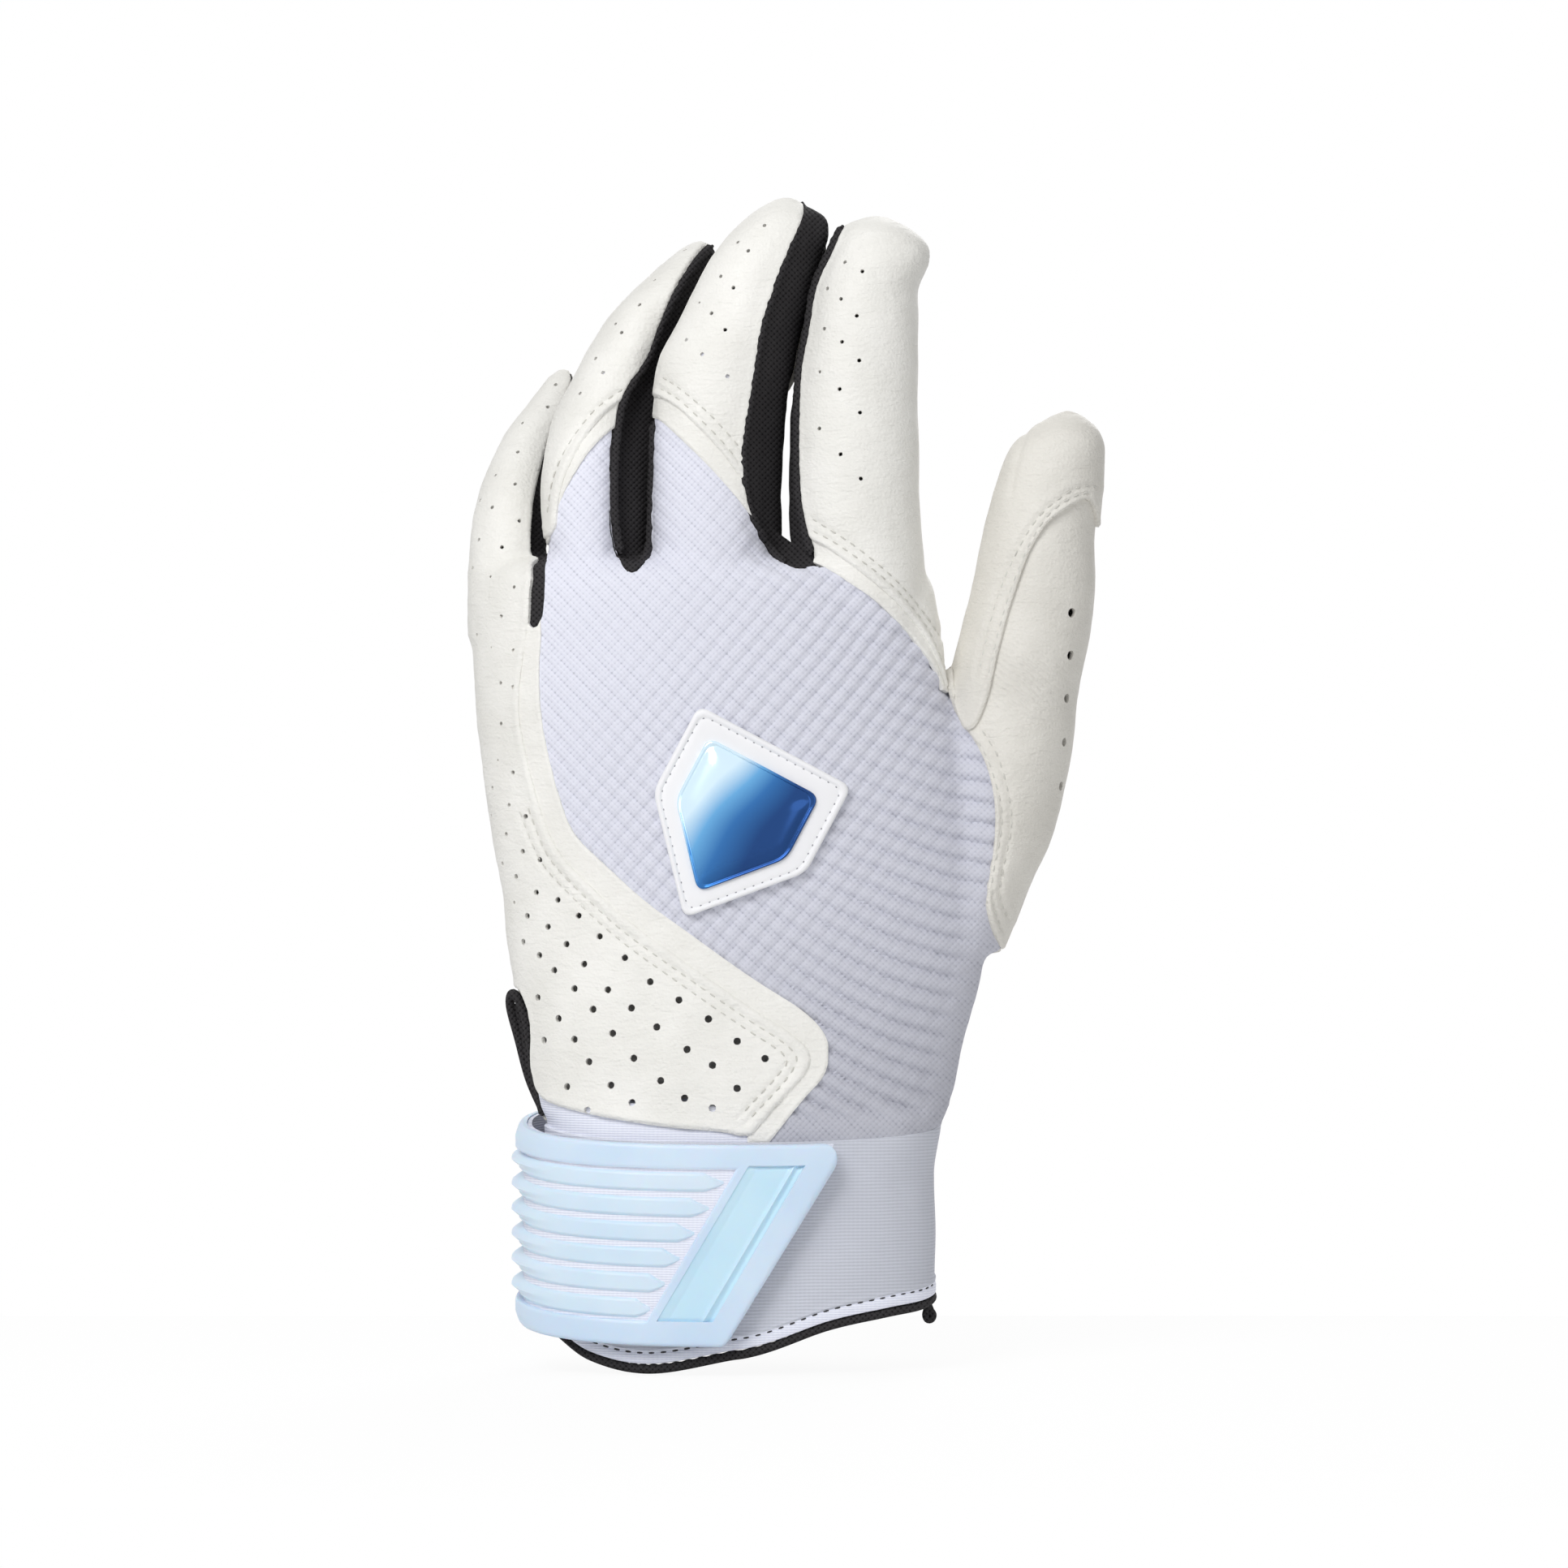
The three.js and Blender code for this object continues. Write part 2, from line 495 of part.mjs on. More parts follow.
// Cuff, split at the slit on the little finger's side, and its edge binding
const SLIT_ANGLE = degrees(CUFF_SPLIT_TURN);
function cuffPoint(angle, share, inset) {
  const low = hemHeight(angle);
  return handPoint(angle, low + (CUFF_HEIGHT - HALF_GAP - low) * share, inset);
}
addPiece('cuff_band', shell(cuffPoint, Math.PI + SLIT_ANGLE, 3 * Math.PI - SLIT_ANGLE, range(0, 1, 3),
  0, CUFF_KNIT, HAND_STEPS), cuffKnit);
const bindingPoint = (angle, drop, inset) => handPoint(angle, hemHeight(angle) - drop, inset);
addPiece('cuff_binding', shell(bindingPoint, Math.PI + SLIT_ANGLE, 3 * Math.PI - SLIT_ANGLE,
  [BINDING_HEIGHT, CLEARANCE], -CLEARANCE, CUFF_KNIT + CLEARANCE, HAND_STEPS), blackKnit);

// Binding loop round the slit
const loopX = (height) => handPoint(Math.PI, height, LEATHER / 2).x;
const loopArm = SLIT_WIDTH / 2 - CLEARANCE - BINDING / 2;
const loopTop = SLIT_TOP - CLEARANCE - BINDING / 2;
const loopLow = CUFF_HEIGHT + BINDING;
const loopBulge = BINDING / 2;
const loopKnee = loopTop - SLIT_WIDTH;
const loopPoint = (bulge, side, height) => new THREE.Vector3(
  loopX(height) - bulge, slitMiddle + side * loopArm, height);
const loopPath = new THREE.CatmullRomCurve3([
  loopPoint(0, 1, loopLow),
  loopPoint(0, 1, loopKnee),
  loopPoint(loopBulge / 2, SHOULDER_SHARE, loopTop - loopArm),
  loopPoint(loopBulge, 0, loopTop),
  loopPoint(loopBulge / 2, -SHOULDER_SHARE, loopTop - loopArm),
  loopPoint(0, -1, loopKnee),
  loopPoint(0, -1, loopLow),
]);
const loopSection = new THREE.Shape();
loopSection.absarc(0, 0, BINDING / 2, 0, 2 * Math.PI);
addPiece('slit_binding', toSolid(new THREE.ExtrudeGeometry(
  loopSection, { extrudePath: loopPath, steps: LOOP_STEPS, bevelEnabled: false, curveSegments: ROUND_STEPS })), blackKnit);

// Tag at the end of the binding, below the thumb
const tagEdge = handPoint(degrees(TAG_TURN), hemHeight(0) - BINDING_HEIGHT - CLEARANCE, CUFF_KNIT / 2);
addPiece('binding_tag', toSolid(new THREE.CylinderGeometry(TAG / 2, TAG / 2, TAG, TAG_STEPS)
  .translate(tagEdge.x, tagEdge.y, tagEdge.z - TAG / 2 - CLEARANCE)), blackKnit);

// Strap: loop pad on the cuff, then hook pad, webbing and the moulded tab, one on another
const strapHeights = range(STRAP_LOW, STRAP_HIGH, 2);
const padHeights = [STRAP_LOW + 2 * PAD_MARGIN, STRAP_HIGH - PAD_MARGIN];
const STRAP_ROOT = degrees(STRAP_ROOT_TURN);
const TAB_LEFT = degrees(TAB_LEFT_TURN);
const WINDOW_LEFT = degrees(WINDOW_LEFT_TURN);
const STRAP_TIP = degrees(STRAP_TIP_TURN);
const PAD_LEFT = degrees(PAD_LEFT_TURN);
const loopOut = CLEARANCE + LOOP_PAD;
const hookOut = loopOut + CLEARANCE + HOOK_PAD;
const webOut = hookOut + CLEARANCE + STRAP_WEB;
const tabOut = webOut + CLEARANCE + TAB_BASE;
const layer = (from, to, heights, inner, outer) => shell(handPoint, from, to, heights, -outer, -inner, HAND_STEPS);

// The tab's slanted lines: how far across at a height, moved over by an offset
const slantAt = (height, offset) => TAB_RIGHT + (height - TAB_RIGHT_HEIGHT) * TAB_SLANT + offset;
const slantArea = (offset, low, high) => prism(
  [[-PALM_BREADTH, low], [slantAt(low, offset), low], [slantAt(high, offset), high], [-PALM_BREADTH, high]],
  -OVERRUN, OVERRUN);
const strapArea = slantArea(0, -OVERRUN, 2 * OVERRUN);
const webArea = slantArea(-CLEARANCE, -OVERRUN, 2 * OVERRUN);
const padArea = slantArea(-TAB_BORDER, -OVERRUN, 2 * OVERRUN);
addPiece('loop_pad', layer(STRAP_TIP, PAD_LEFT, padHeights, CLEARANCE, loopOut).intersect(padArea), cuffKnit);
addPiece('hook_pad', layer(STRAP_TIP, PAD_LEFT, padHeights, loopOut + CLEARANCE, hookOut)
  .intersect(padArea), cuffKnit);
addPiece('strap_webbing', layer(STRAP_TIP, STRAP_ROOT, strapHeights, hookOut + CLEARANCE, webOut)
  .intersect(webArea), strapWebbing);
const ANCHOR_END = degrees(ANCHOR_END_TURN);
addPiece('strap_anchor', layer(STRAP_ROOT + degrees(ANCHOR_GAP_TURN), ANCHOR_END, strapHeights, CLEARANCE, webOut),
  strapWebbing);

// Moulded tab: a frame with a window, the ribs across the window, and a pocket for the plate
const windowLow = STRAP_LOW + TAB_BORDER;
const windowHigh = STRAP_HIGH - TAB_BORDER;
let tab = layer(STRAP_TIP, TAB_LEFT, strapHeights, webOut + CLEARANCE, tabOut).intersect(strapArea);
const windowLayer = layer(STRAP_TIP, WINDOW_LEFT, [windowLow, windowHigh], webOut, tabOut + TAB_RIB);
tab = tab.subtract(windowLayer.intersect(slantArea(-WINDOW_OFFSET, -OVERRUN, 2 * OVERRUN)));
for (let i = 0; i < RIB_COUNT; i += 1) {
  const middle = windowLow + RIB_PITCH * (i + 0.5);
  const heights = [middle - RIB_HEIGHT / 2, middle + RIB_HEIGHT / 2];
  const rib = layer(STRAP_TIP, TAB_LEFT, heights, webOut + CLEARANCE, tabOut + TAB_RIB)
    .intersect(slantArea(-WINDOW_OFFSET - CLEARANCE, -OVERRUN, 2 * OVERRUN));
  tab = tab.add(rib);
}
const plateArea = (gap) => slantArea(-PLATE_OFFSET - gap, -OVERRUN, 2 * OVERRUN)
  .subtract(slantArea(-PLATE_OFFSET - PLATE_WIDTH + gap, -OVERRUN, 2 * OVERRUN));
const plateLayer = (gap, inner, outer) => layer(
  STRAP_TIP, PAD_LEFT, [windowLow + gap, windowHigh + TAB_BORDER / 4 - gap], inner, outer).intersect(plateArea(gap));
tab = tab.subtract(plateLayer(0, webOut, tabOut + TAB_RIB));
addPiece('strap_tab', tab, tabRubber);
addPiece('tab_plate', plateLayer(CLEARANCE, webOut + CLEARANCE, tabOut - TAB_BASE / 3), plateRubber);

// Badge on the back: a home-plate outline with a raised film
function badgeOutline(border) {
  const scale = BADGE_SIZE - border;
  const [cos, sin] = [Math.cos(degrees(BADGE_TURN)), Math.sin(degrees(BADGE_TURN))];
  return badge_outline_shares.map(([x, z]) => [
    BADGE_X + (x * cos - z * sin) * scale, BADGE_Z + (x * sin + z * cos) * scale]);
}
const badgeBack = (inner, outer) => shell(
  handPoint, degrees(BADGE_FROM_TURN), degrees(BADGE_TO_TURN), handHeights, -outer, -inner, HAND_STEPS);
addPiece('badge_base', badgeBack(CLEARANCE, CLEARANCE + BADGE_BASE)
  .intersect(frontPrism(badgeOutline(0))), leather);
addPiece('badge_film', badgeBack(2 * CLEARANCE + BADGE_BASE, 2 * CLEARANCE + BADGE_BASE + BADGE_FILM)
  .intersect(frontPrism(badgeOutline(BADGE_BORDER))), badgeFilm);

export default glove;
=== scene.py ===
import math
import bpy
import numpy as np
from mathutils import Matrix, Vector, kdtree


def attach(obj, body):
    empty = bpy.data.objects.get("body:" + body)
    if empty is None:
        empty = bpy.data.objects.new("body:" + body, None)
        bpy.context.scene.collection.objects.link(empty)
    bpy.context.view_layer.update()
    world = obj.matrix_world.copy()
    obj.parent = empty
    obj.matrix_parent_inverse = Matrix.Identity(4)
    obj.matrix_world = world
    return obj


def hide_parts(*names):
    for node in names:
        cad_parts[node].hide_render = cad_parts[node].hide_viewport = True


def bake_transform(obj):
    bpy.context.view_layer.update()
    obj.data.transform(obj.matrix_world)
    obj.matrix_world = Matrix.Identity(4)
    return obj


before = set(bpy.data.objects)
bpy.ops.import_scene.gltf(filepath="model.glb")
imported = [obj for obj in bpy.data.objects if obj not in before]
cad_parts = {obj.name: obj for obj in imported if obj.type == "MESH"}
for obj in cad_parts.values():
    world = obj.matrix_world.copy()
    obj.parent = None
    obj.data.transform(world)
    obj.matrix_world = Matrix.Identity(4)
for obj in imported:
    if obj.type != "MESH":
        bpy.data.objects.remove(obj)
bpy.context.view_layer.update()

MM = 0.001

# Driving dimensions of the glove in millimetres, as in the CAD part
LENGTH = 240.0
BREADTH = 98.0
DEPTH = 34.0
FINGER = 26.0
CUFF = 51.0
BASE = 164.0
WRIST_TILT = 3.6
POWER = 2.4  # 2 would make the hand's section an ellipse
ROUNDNESS = 2 / POWER
# The photo's frame: the glove's origin in it, and how many of its units make a millimetre
PHOTO_X, PHOTO_Z, PER_MM = 900, 1685, 6
# Rows of height, centre across, half breadth, centre in depth and half depth, as shares of LENGTH and
# of the hand's BREADTH and DEPTH, or of FINGER
HAND = np.array([
    [0, 0.018, 0.41, 0, 0.575], [0.2126, 0.018, 0.41, 0, 0.575], [0.228, 0.028, 0.434, 0.01, 0.56],
    [0.275, 0.033, 0.457, 0.03, 0.55], [0.3375, 0.037, 0.493, 0.045, 0.54],
    [0.4, 0.037, 0.514, 0.055, 0.53], [0.4625, 0.019, 0.521, 0.06, 0.53],
    [0.525, -0.009, 0.514, 0.05, 0.515], [0.575, -0.038, 0.497, 0.04, 0.5],
    [0.63, -0.053, 0.491, 0.02, 0.46], [0.6875, -0.071, 0.483, 0, 0.41]
])
DIGITS = {
    "index": np.array([
        [0.6833, 1.008, 0.515, 0.04, 0.465], [0.754, 0.973, 0.51, 0.04, 0.45],
        [0.817, 0.977, 0.495, 0.05, 0.435], [0.879, 1.02, 0.455, 0.06, 0.41],
        [0.921, 1.066, 0.42, 0.08, 0.385], [0.942, 1.125, 0.405, 0.09, 0.365],
        [0.9625, 1.165, 0.355, 0.11, 0.325], [0.976, 1.148, 0.235, 0.12, 0.23],
        [0.9842, 1.15, 0.05, 0.125, 0.05]
    ]),
    "middle": np.array([
        [0.6833, -0.135, 0.5, 0, 0.475], [0.754, -0.13, 0.495, 0, 0.465], [0.808, -0.11, 0.5, 0, 0.455],
        [0.858, -0.045, 0.51, 0, 0.44], [0.9, 0.095, 0.46, 0.02, 0.42], [0.942, 0.245, 0.42, 0.04, 0.39],
        [0.967, 0.35, 0.36, 0.06, 0.34], [0.9855, 0.425, 0.26, 0.08, 0.25], [1, 0.45, 0.05, 0.09, 0.05]
    ]),
    "ring": np.array([
        [0.6833, -1.115, 0.32, 0.08, 0.4], [0.754, -1.145, 0.34, 0.16, 0.4],
        [0.804, -1.085, 0.33, 0.28, 0.385], [0.858, -0.89, 0.305, 0.42, 0.37],
        [0.9, -0.675, 0.295, 0.52, 0.35], [0.921, -0.53, 0.275, 0.55, 0.33],
        [0.942, -0.385, 0.215, 0.59, 0.27], [0.958, -0.275, 0.14, 0.61, 0.17],
        [0.9675, -0.225, 0.05, 0.615, 0.05]
    ]),
    "little": np.array([
        [0.6833, -1.78, 0.3, 0.36, 0.34], [0.733, -1.755, 0.285, 0.5, 0.33],
        [0.775, -1.67, 0.25, 0.7, 0.31], [0.806, -1.57, 0.22, 0.86, 0.28],
        [0.833, -1.43, 0.165, 0.97, 0.21], [0.85, -1.365, 0.12, 1.01, 0.14],
        [0.8605, -1.335, 0.05, 1.02, 0.05]
    ]),
    "thumb": np.array([
        [0.35, 1.77, 0.36, 0.23, 0.5], [0.4, 1.87, 0.46, 0.27, 0.56], [0.4625, 2.04, 0.54, 0.31, 0.58],
        [0.525, 2.17, 0.54, 0.31, 0.56], [0.573, 2.24, 0.515, 0.29, 0.52], [0.63, 2.36, 0.5, 0.27, 0.48],
        [0.67, 2.425, 0.47, 0.25, 0.455], [0.7125, 2.46, 0.425, 0.23, 0.43],
        [0.754, 2.53, 0.395, 0.21, 0.39], [0.785, 2.59, 0.345, 0.2, 0.34], [0.804, 2.65, 0.21, 0.19, 0.215],
        [0.8146, 2.665, 0.05, 0.19, 0.05]
    ]),
}
# Where each finger's gussets run, in degrees from the thumb side over the back, and how deep they sink in
GUSSETS = {
    "index": [(147, 205, 0.6)],
    "middle": [(185, 225, 0.8), (-35, 62, 0.8)],
    "ring": [(185, 225, 0.8), (-35, 62, 0.8)],
    "little": [(-40, 50, 0.8)],
    "thumb": [],
}
# Where a finger's side swells towards its neighbour: middle and half width in degrees, height, and what
# share of the height is left near the fingertip
SWELLS = {
    "index": [(178, 34, 1.8, 1)],
    "middle": [(-12, 36, 3.1, 0.9), (205, 26, 3.0, 0.35)],
    "ring": [(-10, 38, 6.2, 1), (205, 26, 1.2, 1)],
    "little": [(0, 40, 2.2, 1)],
    "thumb": [],
}


def smooth_step(t):
    t = np.clip(t, 0, 1)
    return t * t * (3 - 2 * t)


def mm(points):
    """Points of the photo's frame, right and down from its corner, as x and z in millimetres."""
    points = np.asarray(points, float)
    return np.stack([(points[:, 0] - PHOTO_X) / PER_MM, (PHOTO_Z - points[:, 1]) / PER_MM], 1)


def curve(xs, ys, x):
    """A smooth curve without overshoot through the points, at x."""
    step = np.diff(xs)
    rate = np.diff(ys) / step
    slope = np.r_[rate[0], np.zeros(len(xs) - 2), rate[-1]]
    for i in range(1, len(xs) - 1):
        if rate[i - 1] * rate[i] > 0:
            a, b = 2 * step[i] + step[i - 1], step[i] + 2 * step[i - 1]
            slope[i] = (a + b) / (a / rate[i - 1] + b / rate[i])
    i = np.clip(np.searchsorted(xs, x, side="right") - 1, 0, len(xs) - 2)
    h = step[i]
    t = np.clip((x - xs[i]) / h, 0, 1)
    return ((1 + 2 * t) * (1 - t) ** 2 * ys[i] + t * (1 - t) ** 2 * h * slope[i]
            + t * t * (3 - 2 * t) * ys[i + 1] - t * t * (1 - t) * h * slope[i + 1])


def section(table, z, unit_across, unit_deep):
    """Centre across, half breadth, centre in depth and half depth at height z, in millimetres."""
    height = table[:, 0] * LENGTH
    cx, a, cy, b = (curve(height, table[:, k], z) for k in range(1, 5))
    return cx * unit_across, a * unit_across, cy * unit_deep, b * unit_deep


def hand_section(z):
    return section(HAND, z, BREADTH, DEPTH)


def digit_section(name, z):
    return section(DIGITS[name], z, FINGER, FINGER)


def rise_of(z):
    """0 on the wrist and 1 at the fingers' base."""
    return np.clip((z - CUFF) / (BASE - CUFF), 0, 1)


def arch(across, z):
    """How far the sides of the hand lie towards the palm."""
    return np.where(across < 0, 9.0, 3.0) * across ** 2 * rise_of(z)


def hand_point(angle, z, out=0.0):
    """Points on the hand's surface, moved outwards."""
    cx, a, cy, b = hand_section(z)
    cos, sin = np.cos(angle), np.sin(angle)
    across = np.sign(cos) * np.abs(cos) ** ROUNDNESS
    deep = -np.sign(sin) * np.abs(sin) ** ROUNDNESS
    x = cx + across * (a + out)
    y = cy + deep * (b + out) + arch(across, z)
    return np.stack(np.broadcast_arrays(x, y, z + WRIST_TILT * deep * (1 - rise_of(z))), -1)


def apart(turn, middle):
    """Degrees between two directions."""
    return np.abs((turn - middle + 180) % 360 - 180)


def digit_point(name, angle, z):
    cx, a, cy, b = digit_section(name, z)
    turn = np.degrees(angle)
    sunk = 0.0
    for low, high, deep in GUSSETS[name]:
        off = apart(turn, (low + high) / 2) / ((high - low) / 2)
        sunk = sunk + deep * np.clip(1 - off ** 4, 0, 1)
    for middle, half, high, top in SWELLS[name]:
        off = apart(turn, middle) / half
        fade = 1 + (top - 1) * smooth_step((z - 190) / 26)
        sunk = sunk - high * fade * (np.clip(1 - off ** 2, 0, 1)) ** 2
    if name == "index":
        roll = 0.7 * np.exp(-((z - 228.5) / 3) ** 2) - 0.35 * np.exp(-((z - 221.5) / 2.4) ** 2)
        sunk = sunk - roll * np.clip(np.cos(angle), 0, 1)
    low_part = np.clip((z - 150) / 20, 0.25, 1) * np.clip(a / (0.3 * FINGER), 0.1, 1)
    r = 1 - sunk * low_part / np.maximum(np.minimum(a, b), 0.5)
    r = np.maximum(r, 0.3)
    x = cx + np.cos(angle) * a * r
    y = cy - np.sin(angle) * b * r
    return np.stack(np.broadcast_arrays(x, y, z + 0 * x), -1)


def tube(surface, heights, steps):
    """A closed mesh from rings of points."""
    angle = np.arange(steps) * 2 * np.pi / steps
    rings = np.stack([surface(angle, np.full(steps, float(h))) for h in heights])
    count = len(heights)
    points = np.concatenate([rings.reshape(-1, 3), rings[0].mean(0)[None], rings[-1].mean(0)[None]])
    tris = []
    for r in range(count - 1):
        for c in range(steps):
            a, b = r * steps + c, r * steps + (c + 1) % steps
            tris += [(a, b, b + steps), (a, b + steps, a + steps)]
    low, high = count * steps, count * steps + 1
    for c in range(steps):
        n = (c + 1) % steps
        tris += [(low, n, c), (high, (count - 1) * steps + c, (count - 1) * steps + n)]
    return points, np.array(tris)


def merge(parts):
    points, tris, start = [], [], 0
    for p, t in parts:
        points.append(p)
        tris.append(t + start)
        start += len(p)
    return np.concatenate(points), np.concatenate(tris)


def unit(v):
    return v / np.maximum(np.linalg.norm(v, axis=1, keepdims=True), 1e-12)


def normals_of(points, tris):
    face = np.cross(points[tris[:, 1]] - points[tris[:, 0]], points[tris[:, 2]] - points[tris[:, 0]])
    out = np.zeros_like(points)
    for k in range(3):
        for axis in range(3):
            out[:, axis] += np.bincount(tris[:, k], face[:, axis], len(points))
    return unit(out)


def edges_of(tris):
    pairs = np.sort(np.concatenate([tris[:, [0, 1]], tris[:, [1, 2]], tris[:, [2, 0]]]), 1)
    return np.unique(pairs, axis=0, return_counts=True)


def smoothed(points, tris, rounds, pull=0.5, push=-0.52):
    """Rounds of smoothing that keep the volume."""
    edges, _ = edges_of(tris)
    i, j = edges[:, 0], edges[:, 1]
    count = np.bincount(np.r_[i, j], minlength=len(points))[:, None]
    for _ in range(rounds):
        for share in (pull, push):
            total = np.stack([np.bincount(np.r_[i, j], np.r_[points[j, k], points[i, k]], len(points))
                              for k in range(3)], 1)
            points = points + share * (total / np.maximum(count, 1) - points)
    return points


def remeshed(points, tris, voxel, rounds):
    """One smooth closed skin round all the tubes."""
    mesh = bpy.data.meshes.new("raw")
    mesh.from_pydata(points.tolist(), [], tris.tolist())
    obj = bpy.data.objects.new("raw", mesh)
    bpy.context.collection.objects.link(obj)
    mod = obj.modifiers.new("skin", "REMESH")
    mod.mode = "VOXEL"
    mod.voxel_size = voxel
    mod.adaptivity = 0
    done = obj.evaluated_get(bpy.context.evaluated_depsgraph_get()).to_mesh()
    done.calc_loop_triangles()
    p = np.zeros(len(done.vertices) * 3)
    done.vertices.foreach_get("co", p)
    t = np.zeros(len(done.loop_triangles) * 3, int)
    done.loop_triangles.foreach_get("vertices", t)
    bpy.data.objects.remove(obj)
    bpy.data.meshes.remove(mesh)
    p, t = p.reshape(-1, 3), t.reshape(-1, 3)
    return smoothed(p, t, rounds), t


class Skin:
    """A triangle mesh in millimetres, cut by fields of its points."""

    def __init__(self, points, tris, normals=None):
        self.p, self.t = points, tris
        self.n = normals_of(points, tris) if normals is None else normals

    def compact(self):
        used = np.unique(self.t)
        place = np.full(len(self.p), -1)
        place[used] = np.arange(len(used))
        return Skin(self.p[used], place[self.t], self.n[used])

    def cut(self, value):
        """What lies where the field is above zero."""
        v = value(self.p) if callable(value) else value
        v = np.where(v >= 0, np.maximum(v, 0.05), np.minimum(v, -0.05))
        inside = v > 0
        count = inside[self.t].sum(1)
        keep = self.t[count == 3]
        mixed = self.t[(count == 1) | (count == 2)]
        if not len(mixed):
            return Skin(self.p, keep, self.n).compact()
        pairs = np.concatenate([mixed[:, [0, 1]], mixed[:, [1, 2]], mixed[:, [2, 0]]])
        pairs = np.unique(np.sort(pairs[inside[pairs[:, 0]] != inside[pairs[:, 1]]], 1), axis=0)
        a, b = pairs[:, 0], pairs[:, 1]
        share = (v[a] / (v[a] - v[b]))[:, None]
        new = self.p[a] + share * (self.p[b] - self.p[a])
        lean = unit(self.n[a] + share * (self.n[b] - self.n[a]))
        number = {(int(i), int(j)): len(self.p) + k for k, (i, j) in enumerate(pairs)}
        at = lambda i, j: number[(min(i, j), max(i, j))]
        extra = []
        for tri in mixed.tolist():
            flags = [bool(inside[i]) for i in tri]
            alone = flags.index(True) if sum(flags) == 1 else flags.index(False)
            i, j, k = tri[alone], tri[(alone + 1) % 3], tri[(alone + 2) % 3]
            if sum(flags) == 1:
                extra.append((i, at(i, j), at(i, k)))
            else:
                extra += [(at(i, j), j, k), (at(i, j), k, at(i, k))]
        return Skin(np.concatenate([self.p, new]), np.concatenate([keep, np.array(extra)]),
                    np.concatenate([self.n, lean])).compact()

    def above(self, z):
        return self.cut(lambda p: p[:, 2] - z)

    def below(self, z):
        return self.cut(lambda p: z - p[:, 2])

    def within(self, outline, margin=0.0):
        return self.cut(lambda p: inside(outline, p) + margin)

    def without(self, outline, margin=0.0):
        return self.cut(lambda p: margin - inside(outline, p))

    def refine(self, wanted):
        """Halves the edges whose middle the test picks."""
        edges, _ = edges_of(self.t)
        middle = (self.p[edges[:, 0]] + self.p[edges[:, 1]]) / 2
        pick = edges[wanted(middle)]
        if not len(pick):
            return self
        new = (self.p[pick[:, 0]] + self.p[pick[:, 1]]) / 2
        lean = unit(self.n[pick[:, 0]] + self.n[pick[:, 1]])
        number = {(int(i), int(j)): len(self.p) + k for k, (i, j) in enumerate(pick)}
        marked = np.zeros(len(self.p), bool)
        marked[pick.ravel()] = True
        may = marked[self.t].sum(1) >= 2
        tris = []
        for a, b, c in self.t[may].tolist():
            ab, bc, ca = (number.get((min(u, v), max(u, v))) for u, v in ((a, b), (b, c), (c, a)))
            have = sum(m is not None for m in (ab, bc, ca))
            if have == 0:
                tris.append((a, b, c))
            elif have == 3:
                tris += [(a, ab, ca), (ab, b, bc), (ca, bc, c), (ab, bc, ca)]
            else:
                for _ in range(3):
                    if (have == 1 and ab is not None) or (have == 2 and ca is None):
                        break
                    a, b, c, ab, bc, ca = b, c, a, bc, ca, ab
                if have == 1:
                    tris += [(a, ab, c), (ab, b, c)]
                else:
                    tris += [(ab, b, bc), (a, ab, bc), (a, bc, c)]
        return Skin(np.concatenate([self.p, new]), np.concatenate([self.t[~may], np.array(tris)]),
                    np.concatenate([self.n, lean]))

    def rim(self):
        edges, count = edges_of(self.t)
        return edges[count == 1]

    def largest(self):
        """The biggest connected piece."""
        label = np.arange(len(self.p))
        edges, _ = edges_of(self.t)
        while True:
            low = np.minimum(label[edges[:, 0]], label[edges[:, 1]])
            before = label.copy()
            np.minimum.at(label, edges[:, 0], low)
            np.minimum.at(label, edges[:, 1], low)
            label = label[label]
            if (label == before).all():
                break
        names, size = np.unique(label[self.t[:, 0]], return_counts=True)
        return Skin(self.p, self.t[label[self.t[:, 0]] == names[size.argmax()]], self.n).compact()


def tree_of(points):
    tree = kdtree.KDTree(len(points))
    for i, point in enumerate(points):
        tree.insert(point, i)
    tree.balance()
    return tree


def nearest(points, spots):
    """Distance of each point from the nearest spot."""
    tree = tree_of(spots)
    return np.array([tree.find(p)[2] for p in points])


def from_segment(start, end, x, z):
    """Distance in the x-z plane from a segment."""
    (ax, az), (bx, bz) = start, end
    dx, dz = bx - ax, bz - az
    t = np.clip(((x - ax) * dx + (z - az) * dz) / max(dx * dx + dz * dz, 1e-12), 0, 1)
    return np.hypot(x - ax - t * dx, z - az - t * dz)


def outline_distance(polygon, x, z):
    """Signed distance in the x-z plane, above zero inside the polygon."""
    a, b = polygon, np.roll(polygon, -1, 0)
    best = np.full(x.shape, 1e9)
    inside = np.zeros(x.shape, bool)
    for (ax, az), (bx, bz) in zip(a, b):
        best = np.minimum(best, from_segment((ax, az), (bx, bz), x, z))
        cross = (az > z) != (bz > z)
        slope = (bx - ax) / (bz - az if bz != az else 1e-12)
        inside ^= cross & (x < ax + (z - az) * slope)
    return np.where(inside, best, -best)


def rounded(polygon, closed=True):
    """A smoother polygon: its corners are cut off twice."""
    for _ in range(2):
        nxt = np.roll(polygon, -1, 0) if closed else polygon[1:]
        cur = polygon if closed else polygon[:-1]
        polygon = np.stack([0.75 * cur + 0.25 * nxt, 0.25 * cur + 0.75 * nxt], 1).reshape(-1, 2)
    return polygon


